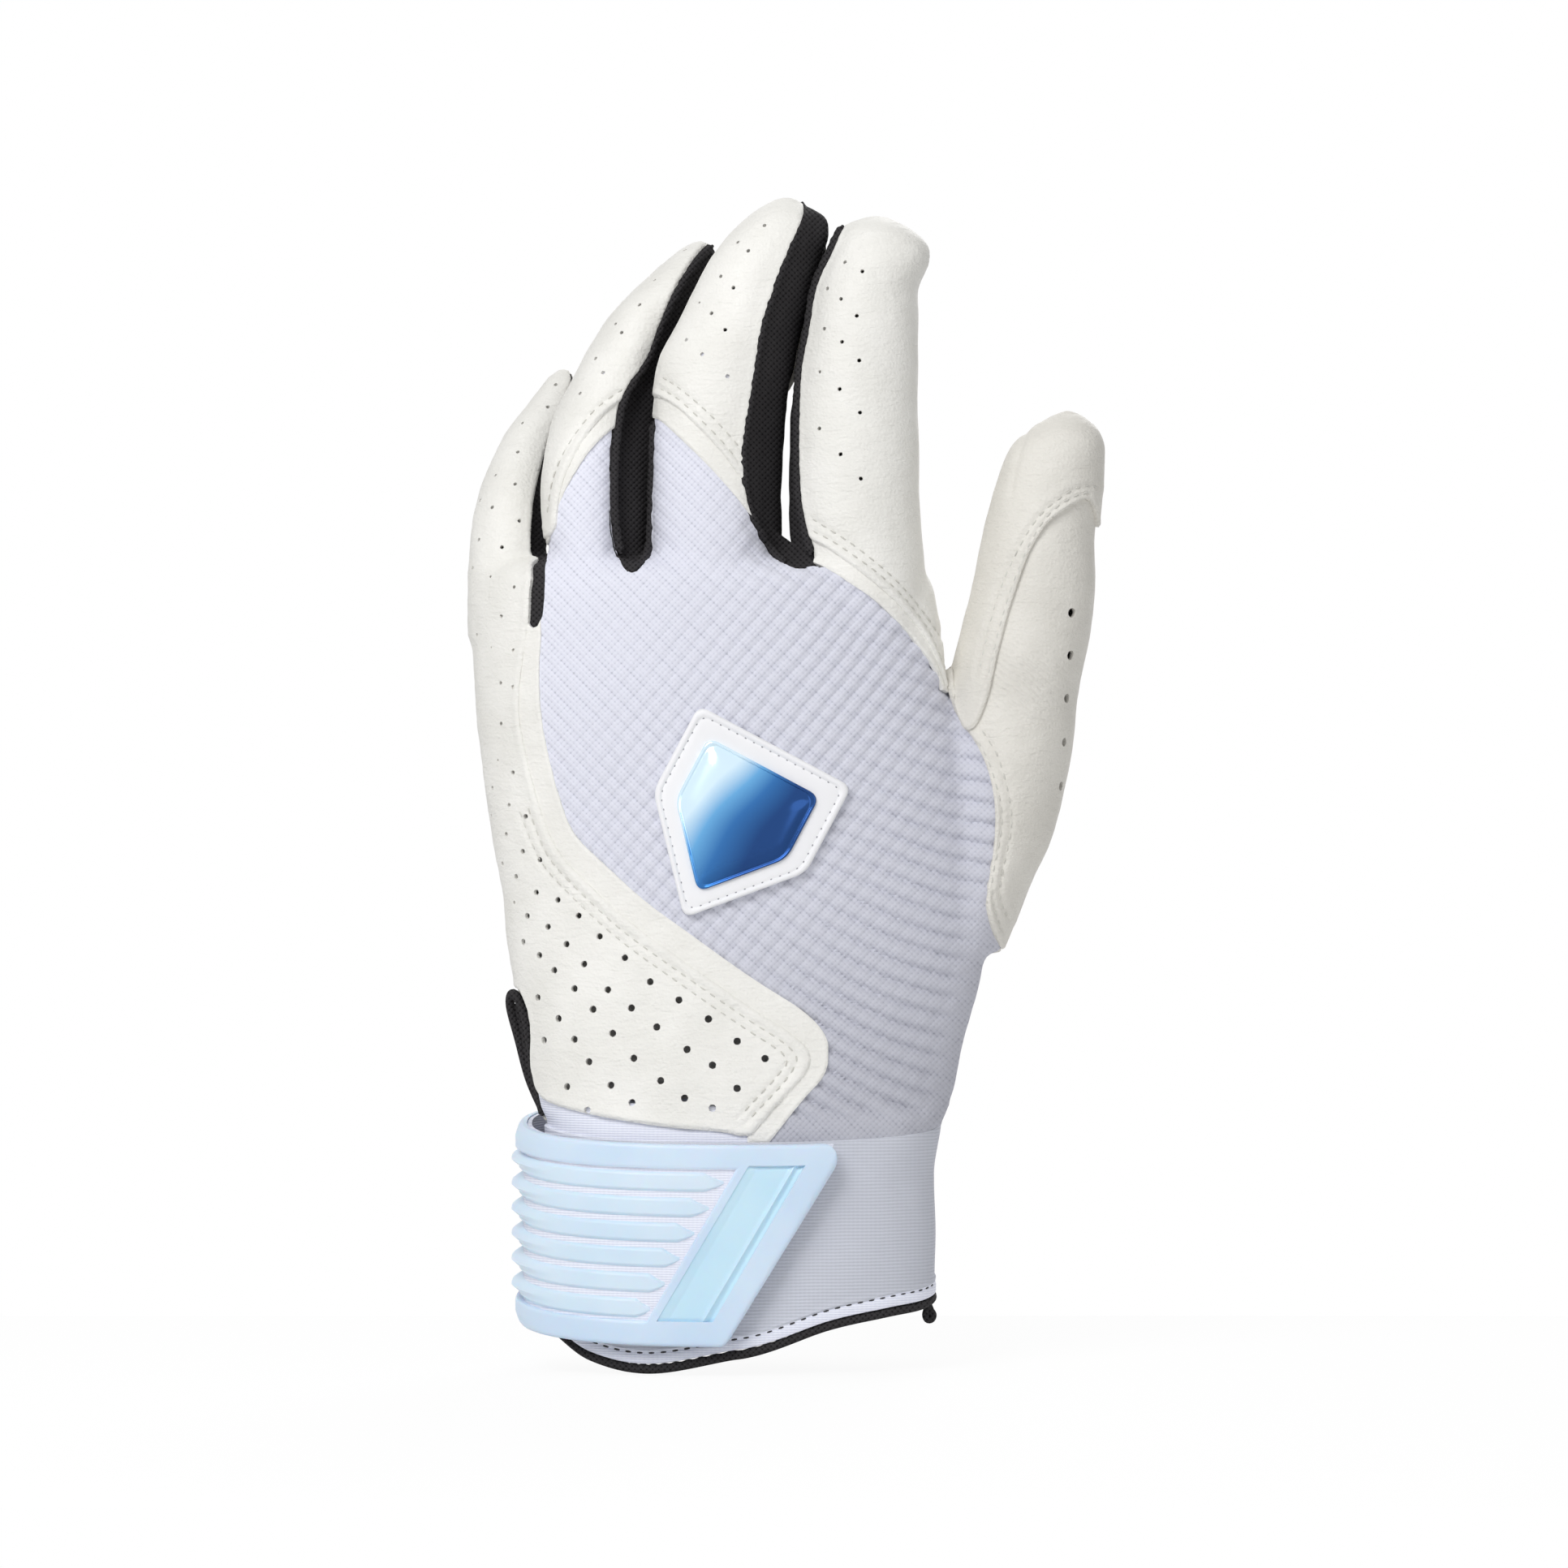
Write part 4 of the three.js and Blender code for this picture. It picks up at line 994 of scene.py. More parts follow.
def surface_at(names, x, z):
    """Points and normals of the named pieces' outer sides, seen from the back of the hand."""
    p = np.concatenate([SURFACES[name].p for name in names])
    n = np.concatenate([SURFACES[name].n for name in names])
    front = n[:, 1] < 0.35
    p, n = p[front], n[front]
    tree = tree_of(p * (1, 0, 1))
    y, lean = np.zeros(len(x)), np.zeros((len(x), 3))
    for k, (a, b) in enumerate(zip(x, z)):
        found = tree.find_n((a, 0, b), 8)
        near = min(p[f[1]][1] for f in found)
        found = [f for f in found if p[f[1]][1] < near + 1.2]
        w = np.array([1 / (f[2] + 0.05) for f in found])
        w /= w.sum()
        y[k] = sum(wi * p[f[1]][1] for wi, f in zip(w, found))
        lean[k] = sum(wi * n[f[1]] for wi, f in zip(w, found))
    return np.stack([x, y, z], 1), unit(lean)


def panel(name, skin, material, nodes="", bend=None, offset=0.0, thick=0.9, lip=0.22, reach=1.8, paths=(),
          holes=(), wrinkle=0.12, seed=1, shape=None, fine=False, whole=True):
    """A sheet of leather or knit with a turned edge, stitch grooves, perforations and soft unevenness."""
    skin = skin.largest() if whole else skin
    start, end = skin.p[skin.rim()].transpose(1, 0, 2)
    spots = np.concatenate([start, end, (start + end) / 2])
    if fine:
        skin = skin.refine(lambda m: np.ones(len(m), bool))
    for near in (2.2, 0.9):
        skin = skin.refine(lambda m: nearest(m, spots) < near)
    paths = [rounded(mm(path), closed=False) for path in paths]
    if paths:
        skin = skin.refine(lambda m: path_distance(paths, m[:, 0], m[:, 2]) < 0.9)
    edge = nearest(skin.p, spots)
    rise = np.full(len(skin.p), offset)
    rise += lip * (np.exp(-((edge - 0.45 * reach) / (0.42 * reach)) ** 2) - 1.5 * np.exp(-(edge / 0.28) ** 2))
    rise += wrinkle * waves(skin.p, 14, seed) + 0.4 * wrinkle * waves(skin.p, 5, seed + 7)
    if paths:
        away = path_distance(paths, skin.p[:, 0], skin.p[:, 2])
        rise += 0.1 * np.exp(-((away - 1.1) / 0.5) ** 2) - 0.22 * np.exp(-(away / 0.4) ** 2)
    if shape:
        rise += shape(skin.p)
    skin = Skin(skin.p + skin.n * rise[:, None], skin.t, skin.n)
    SURFACES[name] = skin
    if len(holes):
        flat = mm([hole[:2] for hole in holes])
        centres, _ = surface_at([name], flat[:, 0], flat[:, 1])
        sizes = np.array([hole[2] for hole in holes])
        gap = lambda m, add: (np.linalg.norm(m[:, None] - centres[None], axis=2) - sizes[None] - add).min(1)
        for add in (0.9, 0.5, 0.3):
            skin = skin.refine(lambda m: gap(m, add) < 0)
        skin = skin.cut(lambda p: gap(p, 0.0)).largest()
    points, tris = thickened(skin.p, skin.t, skin.n, thick)
    return piece(name, points, tris, material, bend=bend, nodes=nodes)


def holes_of(name):
    """The perforations with their radius, which grows towards the wrist."""
    return [(x, y, 0.42 + 0.33 * min(max((y - 900) / 350, 0), 1)) for x, y in PERFORATIONS[name]]


# Back of the hand
SPLIT = 161.0  # height at which the fingers' panels begin
THUMB_EDGE = 26  # where the wrist's thumb side begins, across
TRIM = dict(offset=-0.1, thick=0.8, lip=0.12, reach=1.2)
whole = SKINS["all"]


def knit_side(p):
    """Above zero on the back; the knit wraps round the edge below the thumb."""
    return back_side(p) + 5.0 * smooth_step((p[:, 0] - 22) / 10) * smooth_step((90 - p[:, 2]) / 8)


def over_cuff(p):
    """Above zero above the cuff's upper edge, which lies lower on the back than on the palm."""
    _, _, cy, b = hand_section(p[:, 2])
    level = CUFF - 0.3 + WRIST_TILT * np.clip((p[:, 1] - cy) / b, -1, 1)
    return p[:, 2] - level + 0.4 * smooth_step((p[:, 0] - THUMB_EDGE) / 8)


def in_webs(p):
    """Above zero in the dark ends of the gussets, on the back of the hand."""
    return np.max([inside(outline, p) for outline in WEBS], 0)


def off_webs(p):
    return -in_webs(p)


def quilting(p):
    """A slanted grid of furrows, which turns into curved ribs towards the thumb side."""
    x, y = (PHOTO_X + PER_MM * p[:, 0] - QUILT_CORNER) * 2, (PHOTO_Z - PER_MM * p[:, 2] - QUILT_CORNER) * 2
    run = np.clip(x, -100, 1350) - BEND_AT
    ribs = (y - RIB_SLOPE * run + RIB_BEND * run ** 2) / RIB_STEP
    rows = (ROW_ACROSS * x + ROW_DOWN * y) / ROW_STEP
    furrow = lambda t, width: -np.exp(-((t - np.round(t)) / width) ** 2)
    ribs, rows = (t + 0.1 * waves(p, 24, seed) for t, seed in ((ribs, 71), (rows, 72)))
    over = 1.5 * smooth_step((p[:, 0] - THUMB_EDGE) / 10) * smooth_step((55.5 - p[:, 2]) / 5)
    radial = smooth_step((x + 0.55 * y - 1050) / 450)
    strong = smooth_step((x + y - 350) / 900)
    cx, a, _, _ = hand_section(p[:, 2])
    facing = smooth_step((0.985 - (p[:, 0] - cx) / a) / 0.14)
    low_part = np.clip((p[:, 2] - 50) / 4, 0, 1) * np.maximum(facing, smooth_step((p[:, 2] - 92) / 10))
    return (0.8 * furrow(ribs, 0.2) * (0.7 + 0.6 * radial) + 0.4 * furrow(rows, 0.22) * (1 - 0.75 * radial)) \
        * (0.2 + 0.8 * strong) * low_part + 0.12 + over


def knit(name, skin, **more):
    """A quilted panel of the stretch knit."""
    panel(name + "_mesh_knit", skin, "back_knit", name + "_mesh", offset=-0.55, thick=0.8, lip=0, seed=3,
          fine=True, shape=quilting, **more)


above_cuff = whole.cut(over_cuff)
hand_back = above_cuff.cut(knit_side)
on_mesh = hand_back.within(MESH, 2.5).cut(off_webs)
knit("back", on_mesh.below(SPLIT))
for name, west, east, gusset in (("ring", -41.5, -20.2, RING_GUSSET), ("middle", -20.2, 34, MIDDLE_GUSSET)):
    others = [other for other in FINGERS if other != name]
    skin = on_mesh.above(SPLIT).cut(lambda p: p[:, 0] - west).cut(lambda p: east - p[:, 0])
    skin = skin.cut(lambda p: np.where(p[:, 2] < 165, 1.0, 10 * (np.min(
        [ratio_of(other, p) for other in others], 0) - ratio_of(name, p))))
    knit(name, skin.cut(lambda p: np.maximum(-inside(gusset, p), 164.5 - p[:, 2])), bend=name)

trim = hand_back.without(MESH, 1.0).without(FLAP, 2.2).cut(off_webs).within(MESH, 9).below(SPLIT + 2)
trim = trim.cut(lambda p: 20 - p[:, 0]).cut(lambda p: np.maximum(p[:, 2] - 52.2, p[:, 0] - 3.6))
panel("ulnar_trim_strip", trim, "leather", "ulnar_trim", seed=5, **TRIM)


# Leather backs of the fingers
def joined(p, hand, finger):
    """From the hand's field to the finger's, over the finger's root."""
    t = np.clip((p[:, 2] - 160) / 7, 0, 1)
    return hand * (1 - t) + finger * t


def reach_of(name, p, scale):
    """Above zero near a finger, more closely so above its root."""
    return (2.2 - 0.85 * np.clip((p[:, 2] - 160) / 7, 0, 1) - ratio_of(name, p)) * scale


def little_back(p):
    hand = np.minimum(back_side(p) + 3.0, inside(FLAP, p))
    finger = np.minimum(sector("little", p, 50, 200), reach_of("little", p, 8))
    return np.where(p[:, 2] > 167, finger, joined(p, hand, finger))


def index_back(p):
    hand = np.minimum(back_side(p) + 2.0, inside(INDEX, p))
    finger = np.minimum(sector("index", p, -25, 170), inside(INDEX, p))
    finger = np.minimum(finger, reach_of("index", p, 10))
    return joined(p, hand, np.minimum(finger, -inside(INDEX_GUSSET, p)))


skin = SKINS["little"].above(CUFF - 2.4).cut(little_back)
panel("ulnar_leather", skin, "leather", "ulnar_flap little_back", "little", offset=0.3,
      holes=holes_of("little"), paths=FLAP_ROWS, seed=11, wrinkle=0.16)
panel("index_leather", SKINS["index"].above(125).cut(index_back), "leather", "index_root index_back", "index",
      offset=0.3, holes=holes_of("index"), paths=INDEX_ROWS, seed=12)
trim = hand_back.within(INDEX_TRIM).without(INDEX, 3).below(172)
trim = trim.cut(lambda p: 1.3 - np.minimum(ratio_of("index", p), np.where(p[:, 2] < 162, 0, 9)))
trim = trim.cut(off_webs).without(INDEX_GUSSET).without(THUMB)
panel("knuckle_trim_strip", trim, "leather", "knuckle_trim", "index", seed=6, **TRIM)
for name, outline, edge, rows, gusset in (("middle", MIDDLE, MIDDLE_TRIM, MIDDLE_ROWS, MIDDLE_GUSSET),
                                          ("ring", RING, RING_TRIM, RING_ROWS, RING_GUSSET)):
    digit = SKINS[name].above(164).cut(lambda p: sector(name, p, 20, 185))
    digit = digit.cut(lambda p: 1.3 - ratio_of(name, p)).without(gusset)
    panel(name + "_leather", digit.within(outline), "leather", name + "_back", name, offset=0.3,
          holes=holes_of(name), paths=rows, seed=13)
    panel(name + "_trim_strip", digit.within(edge).without(outline, 2.5), "leather", "", name, seed=6, **TRIM)


# Gussets, fronts of the fingers and webs
def edge_shown(name, z):
    """By how many degrees the palm leather shows round the middle finger's side."""
    return (19 if name == "middle" else 0) * (smooth_step((z - 195) / 10) * smooth_step((234 - z) / 5))


def tip_raised(p):
    return 1.1 * smooth_step((p[:, 2] - 227) / 6)


for name, part, low, high, gusset in (
        ("index", "gusset", 110, 205, INDEX_GUSSET), ("middle", "outer_gusset", 185, 225, None),
        ("middle", "inner_gusset", -35, 110, MIDDLE_GUSSET), ("ring", "outer_gusset", 185, 225, None),
        ("ring", "inner_gusset", -35, 130, RING_GUSSET), ("little", "gusset", -40, 50, None)):
    inner = part == "inner_gusset"
    skin = SKINS[name].above(160).cut(lambda p: sector(
        name, p, low - 5 + inner * edge_shown(name, p[:, 2]), high + (0 if gusset else 5)))
    skin = skin.cut(lambda p: 1.45 + 0.7 * smooth_step((p[:, 2] - 165.5) / 2) - ratio_of(name, p))
    if gusset:
        skin = skin.cut(lambda p: np.maximum(inside(gusset, p) + 0.7, back_side(p) * -1 - 3))
    panel(f"{name}_{part}_knit", skin, "black_knit", f"{name}_{part}", name, offset=-1.1, lip=0.6, reach=1.5,
          wrinkle=0.25, seed=20, shape=tip_raised if inner and name == "middle" else None)
for name, low, high in (("index", 205, 335), ("middle", 225, 325), ("ring", 225, 325), ("little", 200, 320)):
    skin = SKINS[name].above(SPLIT).cut(lambda p: sector(name, p, low, high + edge_shown(name, p[:, 2])))
    skin = skin.cut(lambda p: 1.35 - ratio_of(name, p))
    panel(name + "_palm_leather", skin, "palm_leather", name + "_front", name, offset=0.2, seed=30)

WEB_X = np.array([-40.0, -20.3, 12.5])  # middles of the webs, across


def web_top(p):
    """Above zero below the webs' upper edge, which slants beside the index finger."""
    slant = 170.6 + np.clip(1.3 * (10.8 - p[:, 0]), -1.3, 1.8)
    return np.where(p[:, 0] > 0, slant, 167.5) - p[:, 2]


def web_field(p):
    between = 2.6 - np.abs(p[:, 0, None] - WEB_X[None]).min(1)
    top = np.min([(ratio_of(name, p) - 0.97) * 10 for name in FINGERS]
                 + [web_top(p), 9.0 - np.abs(back_side(p)), p[:, 2] - 158, between], 0)
    return np.maximum(top, np.minimum(in_webs(p) + 0.6, back_side(p)))


panel("finger_webs", whole.above(148).cut(web_top).cut(web_field), "black_knit",
      "web_ring_little web_middle_ring web_index_middle", offset=-0.8, lip=0.15, whole=False)


# Thumb and palm
def thumb_front(p):
    """Above zero on the palm side of the thumb."""
    _, _, cy, b = digit_section("thumb", np.maximum(p[:, 2], 86))
    t = np.clip((p[:, 2] - 84) / 22, 0, 1)
    return (p[:, 1] - cy - 0.42 * b) * t - back_side(p) * (1 - t)


thumb = above_cuff.within(THUMB).above(70)
thumb_back = thumb.cut(lambda p: -thumb_front(p))
panel("thumb_lower_leather", thumb_back.without(TIP, 3.0), "shaded_leather", "thumb_root_back thumb_lower",
      "thumb", holes=[(x - 3, y, 1.0) for x, y in PERFORATIONS["thumb"]], paths=THUMB_ROWS, seed=41)
panel("thumb_tip_leather", thumb_back.within(TIP), "shaded_leather", "thumb_tip", "thumb", offset=0.95,
      paths=TIP_ROWS + [TIP_SEAM], seed=42)
panel("thumb_palm_leather", thumb.cut(thumb_front), "palm_leather", "thumb_root_front thumb_front", "thumb",
      offset=0.1, seed=43)
palm = above_cuff.cut(lambda p: -knit_side(p)).below(SPLIT).without(THUMB)
panel("palm_leather_sheet", palm, "palm_leather", "palm_hide", offset=-0.2, seed=44, wrinkle=0.18)


# Strap and cuff
# Height of the hem at equal steps round the wrist, from the thumb side over the back
HEM = CUFF * np.array([0.31, 0.316, 0.315, 0.28, 0.175, 0.112, 0.141, 0.215, 0.2, 0.188, 0.188, 0.188, 0.188,
                       0.2, 0.23, 0.28])
STRAP_LOW, STRAP_HIGH, BORDER, RIBS = 9.8, 50.6, 5.0, 6
WINDOW_LOW, WINDOW_HIGH = STRAP_LOW + BORDER, STRAP_HIGH - BORDER
# Distances from the wrist's surface, and angles round it
WEB_OUT, TAB_OUT = 3.3, 5.0
TAB_LEFT, STRAP_ROOT, ANCHOR_START, ANCHOR_END = np.radians([202.5, 232.5, 234.2, 262.5])
ROUND_WRIST = 187.2, 532.81  # from one side of the slit round to the other, in degrees
RADIAN = 40  # millimetres of the strap's length in a radian
FAR = 99  # more than any distance on the tab


def spline(a, b, c, d, t):
    """From b to c on a smooth curve through four points."""
    return b + 0.5 * t * (c - a + t * (2 * a - 5 * b + 4 * c - d + t * (3 * (b - c) + d - a)))


def hem(angle):
    """Height of the cuff's lower edge round the wrist."""
    turn = (np.asarray(angle, float) / (2 * np.pi) * len(HEM)) % len(HEM)
    low = np.floor(turn).astype(int)
    return spline(*(HEM[(low + k) % len(HEM)] for k in (-1, 0, 1, 2)), turn - low)


def turn_at(x, z, out):
    """Angle round the wrist of places across its back, at a height and a distance from its surface."""
    cx, a, _, _ = hand_section(z)
    cos = np.clip((x - cx) / (a + out), -1, 1)
    return np.arccos(np.sign(cos) * np.abs(cos) ** (POWER / 2))


def slant_turn(z, offset, out):
    """Angle of the tab's slanted line on the back of the wrist, moved across by an offset."""
    lift = -WRIST_TILT
    for _ in range(4):
        x = 21.5 + (z + lift - 43) * 0.595 + offset
        angle = turn_at(x, z, out)
        lift = -WRIST_TILT * np.abs(np.sin(angle)) ** ROUNDNESS
    return angle


def grid_tris(n, m, wrap=False):
    index = np.arange(n * m).reshape(n, m)
    if wrap:
        index = np.concatenate([index, index[:, :1]], 1)
    a, b, c, d = (k.ravel() for k in (index[:-1, :-1], index[1:, :-1], index[1:, 1:], index[:-1, 1:]))
    return np.concatenate([np.stack([a, b, c], 1), np.stack([a, c, d], 1)])


def outward(points, tris):
    """The triangles of a closed mesh, turned to face outwards."""
    a, b, c = (points[tris[:, k]] for k in range(3))
    return tris[:, ::-1] if np.einsum("ij,ij->i", a, np.cross(b, c)).sum() < 0 else tris


def slab(name, angle, z, top, low, material, nodes, second=None, marked=None, **where):
    """A closed sheet over the wrist, between two distances from its surface."""
    n, m = angle.shape
    points = np.concatenate([hand_point(angle, z, np.broadcast_to(out, angle.shape)).reshape(-1, 3)
                             for out in (top, low)])
    face = grid_tris(n, m)
    index = np.arange(n * m).reshape(n, m)
    ring = np.concatenate([index[0, :-1], index[:-1, -1], index[-1, :0:-1], index[:0:-1, 0]])
    nxt = np.roll(ring, -1)
    below = ring + n * m
    side = [np.stack([nxt, ring, below], 1), np.stack([nxt, below, nxt + n * m], 1)]
    tris = np.concatenate([face, face[:, ::-1] + n * m, *side])
    flags = np.zeros(len(tris), int)
    if second:
        flags[:len(face)] = np.tile(marked[:-1, :-1].ravel(), 2)
    piece(name, points, outward(points, tris), material, nodes=nodes, smooth=40, second=second, flags=flags,
          **where)


def eased(d, radius):
    """How far a rounded edge drops at a distance from it."""
    t = np.clip(1 - d / radius, 0, 1)
    return radius * (1 - np.sqrt(1 - t * t))


def strip(name, left, right, low, high, inner, outer, material, nodes, radius=0.35, body="strap"):
    """A layer of the strap with rounded edges; a negative right end is an offset from the tab's slant."""
    step = 0.6
    rows = np.r_[low, low + 0.12, low + 0.35, np.arange(low + 0.8, high - 0.5, step),
                 high - 0.35, high - 0.12, high]
    z = rows[:, None] + 0 * rows[None, :1]
    end = slant_turn(z, right, outer) if right < 0 else right
    length = abs(left - np.min(end)) * RADIAN
    share = np.linspace(0, 1, int(length / step))
    share = np.r_[0, 0.002, 0.006, share[1:-1], 0.994, 0.998, 1]
    angle = left + (end - left) * share[None] + 0 * z
    z = z + 0 * angle
    d = np.minimum(np.minimum(z - low, high - z), np.minimum(share, 1 - share)[None] * length)
    p = hand_point(angle, z, outer).reshape(-1, 3)
    top = outer - eased(d, radius) + 0.05 * waves(p, 9, 2).reshape(z.shape)
    slab(name, angle, z, top, inner, material, nodes, body=body)


PAD = (np.radians(150), -5, STRAP_LOW + 6, STRAP_HIGH - 3)
strip("loop_pad_pile", *PAD, 0.1, 1.0, "loop_pile", "loop_pad", body="hand")
strip("hook_pad_hooks", *PAD, 1.3, 2.35, "hook_pad", "hook_pad")
strip("strap_fabric", STRAP_ROOT, -2.6, STRAP_LOW + 0.2, STRAP_HIGH - 0.2, 2.3, WEB_OUT, "strap_web",
      "strap_webbing")
strip("anchor_fabric", ANCHOR_START, ANCHOR_END, STRAP_LOW, STRAP_HIGH, 0.1, WEB_OUT, "strap_web",
      "strap_anchor", radius=0.9, body="hand")

# Offsets across from the tab's slanted line: its edge, the plate's sides, the window's and the ribs' ends
TAB_EDGE, PLATE_RIGHT, PLATE_LEFT, WINDOW_END, RIB_END = -0.55, -5.98, -17.5, -19.6, -20.6
LEFT_PART = -99.0  # offset of the columns left of the slanted ones
LEFT_COLUMNS = 120
CORNER = 2.6  # radius of the tab's upper corner
TAB_BEND = 140, 35  # angle at which the tab starts to stand off the wrist, and how far on it does so fully


def tab_grid():
    """Columns that lean over from the upright left end to the slanted right edge."""
    rows = np.unique(np.round(np.r_[
        STRAP_LOW, STRAP_LOW + 0.1, STRAP_LOW + 0.3, np.arange(STRAP_LOW + 0.6, STRAP_HIGH - 0.4, 0.4),
        WINDOW_LOW - 0.06, WINDOW_LOW + 0.06, WINDOW_HIGH - 0.06, WINDOW_HIGH + 0.06,
        STRAP_HIGH - 0.3, STRAP_HIGH - 0.1, STRAP_HIGH], 4))
    offsets = np.unique(np.round(np.r_[
        np.arange(-19.7, -0.9, 0.4), -19.7, -19.58, PLATE_LEFT, -17.38, -6.12, -6.0, -1.0, -0.8, -0.65,
        TAB_EDGE], 4))
    z = np.repeat(rows[:, None], LEFT_COLUMNS + len(offsets), 1)
    level = z[:, :len(offsets)]
    near_top = np.clip((level - STRAP_HIGH + 3.4) / 3.4, 0, 1)
    near_low = np.clip((STRAP_LOW + 2 - level) / 2, 0, 1)
    retreat = CORNER * (1 - np.sqrt(1 - near_top ** 2)) + 0.9 * (1 - np.sqrt(1 - near_low ** 2))
    right = slant_turn(level, offsets[None] - retreat * np.clip((offsets + 5) / 4, 0, 1), TAB_OUT)
    share = np.linspace(0, 1, LEFT_COLUMNS + 1)[None, :-1]
    left = TAB_LEFT + (right[:, :1] - TAB_LEFT) * share
    offset = np.concatenate([np.full((len(rows), LEFT_COLUMNS), LEFT_PART),
                             np.repeat(offsets[None], len(rows), 0)], 1)
    return np.concatenate([left, right], 1), z, offset


def tab_frame():
    """The tab's border, open at the window and hollowed for the plate."""
    angle, z, offset = tab_grid()
    on_left = offset == LEFT_PART
    right_gap = np.where(on_left, FAR, TAB_EDGE - offset)
    corner = np.clip(CORNER - right_gap, 0, CORNER)
    high = STRAP_HIGH - (CORNER - np.sqrt(CORNER ** 2 - corner ** 2)) * 0.85
    z = STRAP_LOW + (z - STRAP_LOW) * (high - STRAP_LOW) / (STRAP_HIGH - STRAP_LOW)
    ends = np.where(on_left, (TAB_LEFT - angle) * RADIAN, FAR)
    rim = np.minimum(np.minimum(z - STRAP_LOW, high - z), np.minimum(ends, right_gap * 0.86))
    in_window = (z > WINDOW_LOW) & (z < WINDOW_HIGH) & (offset < WINDOW_END)
    pocket = (z > WINDOW_LOW) & (z < WINDOW_HIGH + 0.6) & (offset > -17.45) & (offset < -6.05)
    outside = np.maximum(WINDOW_LOW - z, z - WINDOW_HIGH)
    outside = np.maximum(outside, np.where(on_left, -9, offset - WINDOW_END))
    bulge = 0.9 * np.clip((np.degrees(angle) - TAB_BEND[0]) / TAB_BEND[1], 0, 1) ** 2
    top = TAB_OUT - 0.2 - eased(rim, 0.9) * 0.75 - 0.3 * np.clip(1 - np.maximum(outside, 0) / 0.55, 0, 1) ** 2
    top = top + bulge * np.clip(rim / 2.5, 0, 1)
    top = np.where(in_window | pocket, np.where(pocket, WEB_OUT + 0.2, WEB_OUT + 0.75), top)
    slab("tab_frame", angle, z, top, WEB_OUT + 0.02, "tab_rubber", "strap_tab", "strap_web", in_window,
         body="strap")


def tab_rib(number, middle, pitch):
    """A long lens whose blunt point follows the window's slanted end."""
    across = np.array([-1, -0.97, -0.9, -0.8, -0.7, -0.6, -0.5, -0.4, -0.25, -0.1, 0.05, 0.2, 0.35, 0.5, 0.6,
                       0.7, 0.8, 0.9, 0.97, 1])
    share = np.r_[np.linspace(0, 0.9, 90), np.linspace(0.905, 1, 24)]
    right = float(slant_turn(np.array([middle]), RIB_END, TAB_OUT)[0])
    start = TAB_LEFT - 0.01
    line = start + (right - start) * share
    tip = np.clip((line - right) * 36 / 2.6, 0, 1)
    half = pitch * 0.385 * (0.14 + 0.86 * tip)
    lean = -0.35 * (1 - tip)
    z = middle + (across[:, None] + lean[None]) * half[None]
    angle = np.repeat(line[None], len(across), 0)
    side = np.clip((np.degrees(angle) - TAB_BEND[0]) / TAB_BEND[1], 0, 1) ** 1.5
    flat = np.clip((1 - np.abs(across)) / 0.3, 0, 1)[:, None] ** 0.7
    peak = np.clip(1 - np.abs(across - 0.18) / 0.85, 0, 1) + 0.28 * np.exp(-((across + 0.62) / 0.16) ** 2)
    rise = flat * 0.6 * (1 - side) + (2.5 * peak[:, None]) * side
    rise = rise * np.clip(tip * 2.5, 0.25, 1)[None]
    slab(f"tab_rib_{number}", angle, z, WEB_OUT + 0.74 + rise, WEB_OUT + 0.05, "rib_rubber", "strap_tab",
         body="strap")


def plate():
    """The plate in the tab: a broad bevel on its left and a low ridge on its right."""
    rows = np.unique(np.round(np.r_[WINDOW_LOW - 0.02 + np.array([0, 0.15, 0.35, 0.6, 0.9, 1.2]),
                                    np.arange(WINDOW_LOW + 1.8, WINDOW_HIGH - 0.4, 0.8),
                                    WINDOW_HIGH + 0.62 - np.array([0.9, 0.6, 0.35, 0.15, 0])], 4))
    offsets = np.unique(np.round(np.r_[np.arange(PLATE_LEFT, -6.1, 0.22), PLATE_LEFT, PLATE_RIGHT], 4))
    z = np.repeat(rows[:, None], len(offsets), 1)
    from_left, from_right = offsets[None] - PLATE_LEFT, PLATE_RIGHT - offsets[None]
    rim = np.minimum(z - rows[0], rows[-1] - z)
    top = TAB_OUT - 0.25 - 0.45 * np.clip(from_left / 2.1, 0, 1)
    top = top - 0.25 * np.clip(from_right / 1.1 - 1, 0, 0.35)
    top = top + 0.5 * np.exp(-((from_right - 2.1) / 0.45) ** 2)
    top = top - 0.35 * np.exp(-((from_right - 0.9) / 0.5) ** 2)
    slab("plate_rubber", slant_turn(z, offsets[None], TAB_OUT), z, top - 0.3 * np.exp(-(rim / 0.5) ** 2),
         WEB_OUT + 0.3, "plate_rubber", "tab_plate", body="strap")


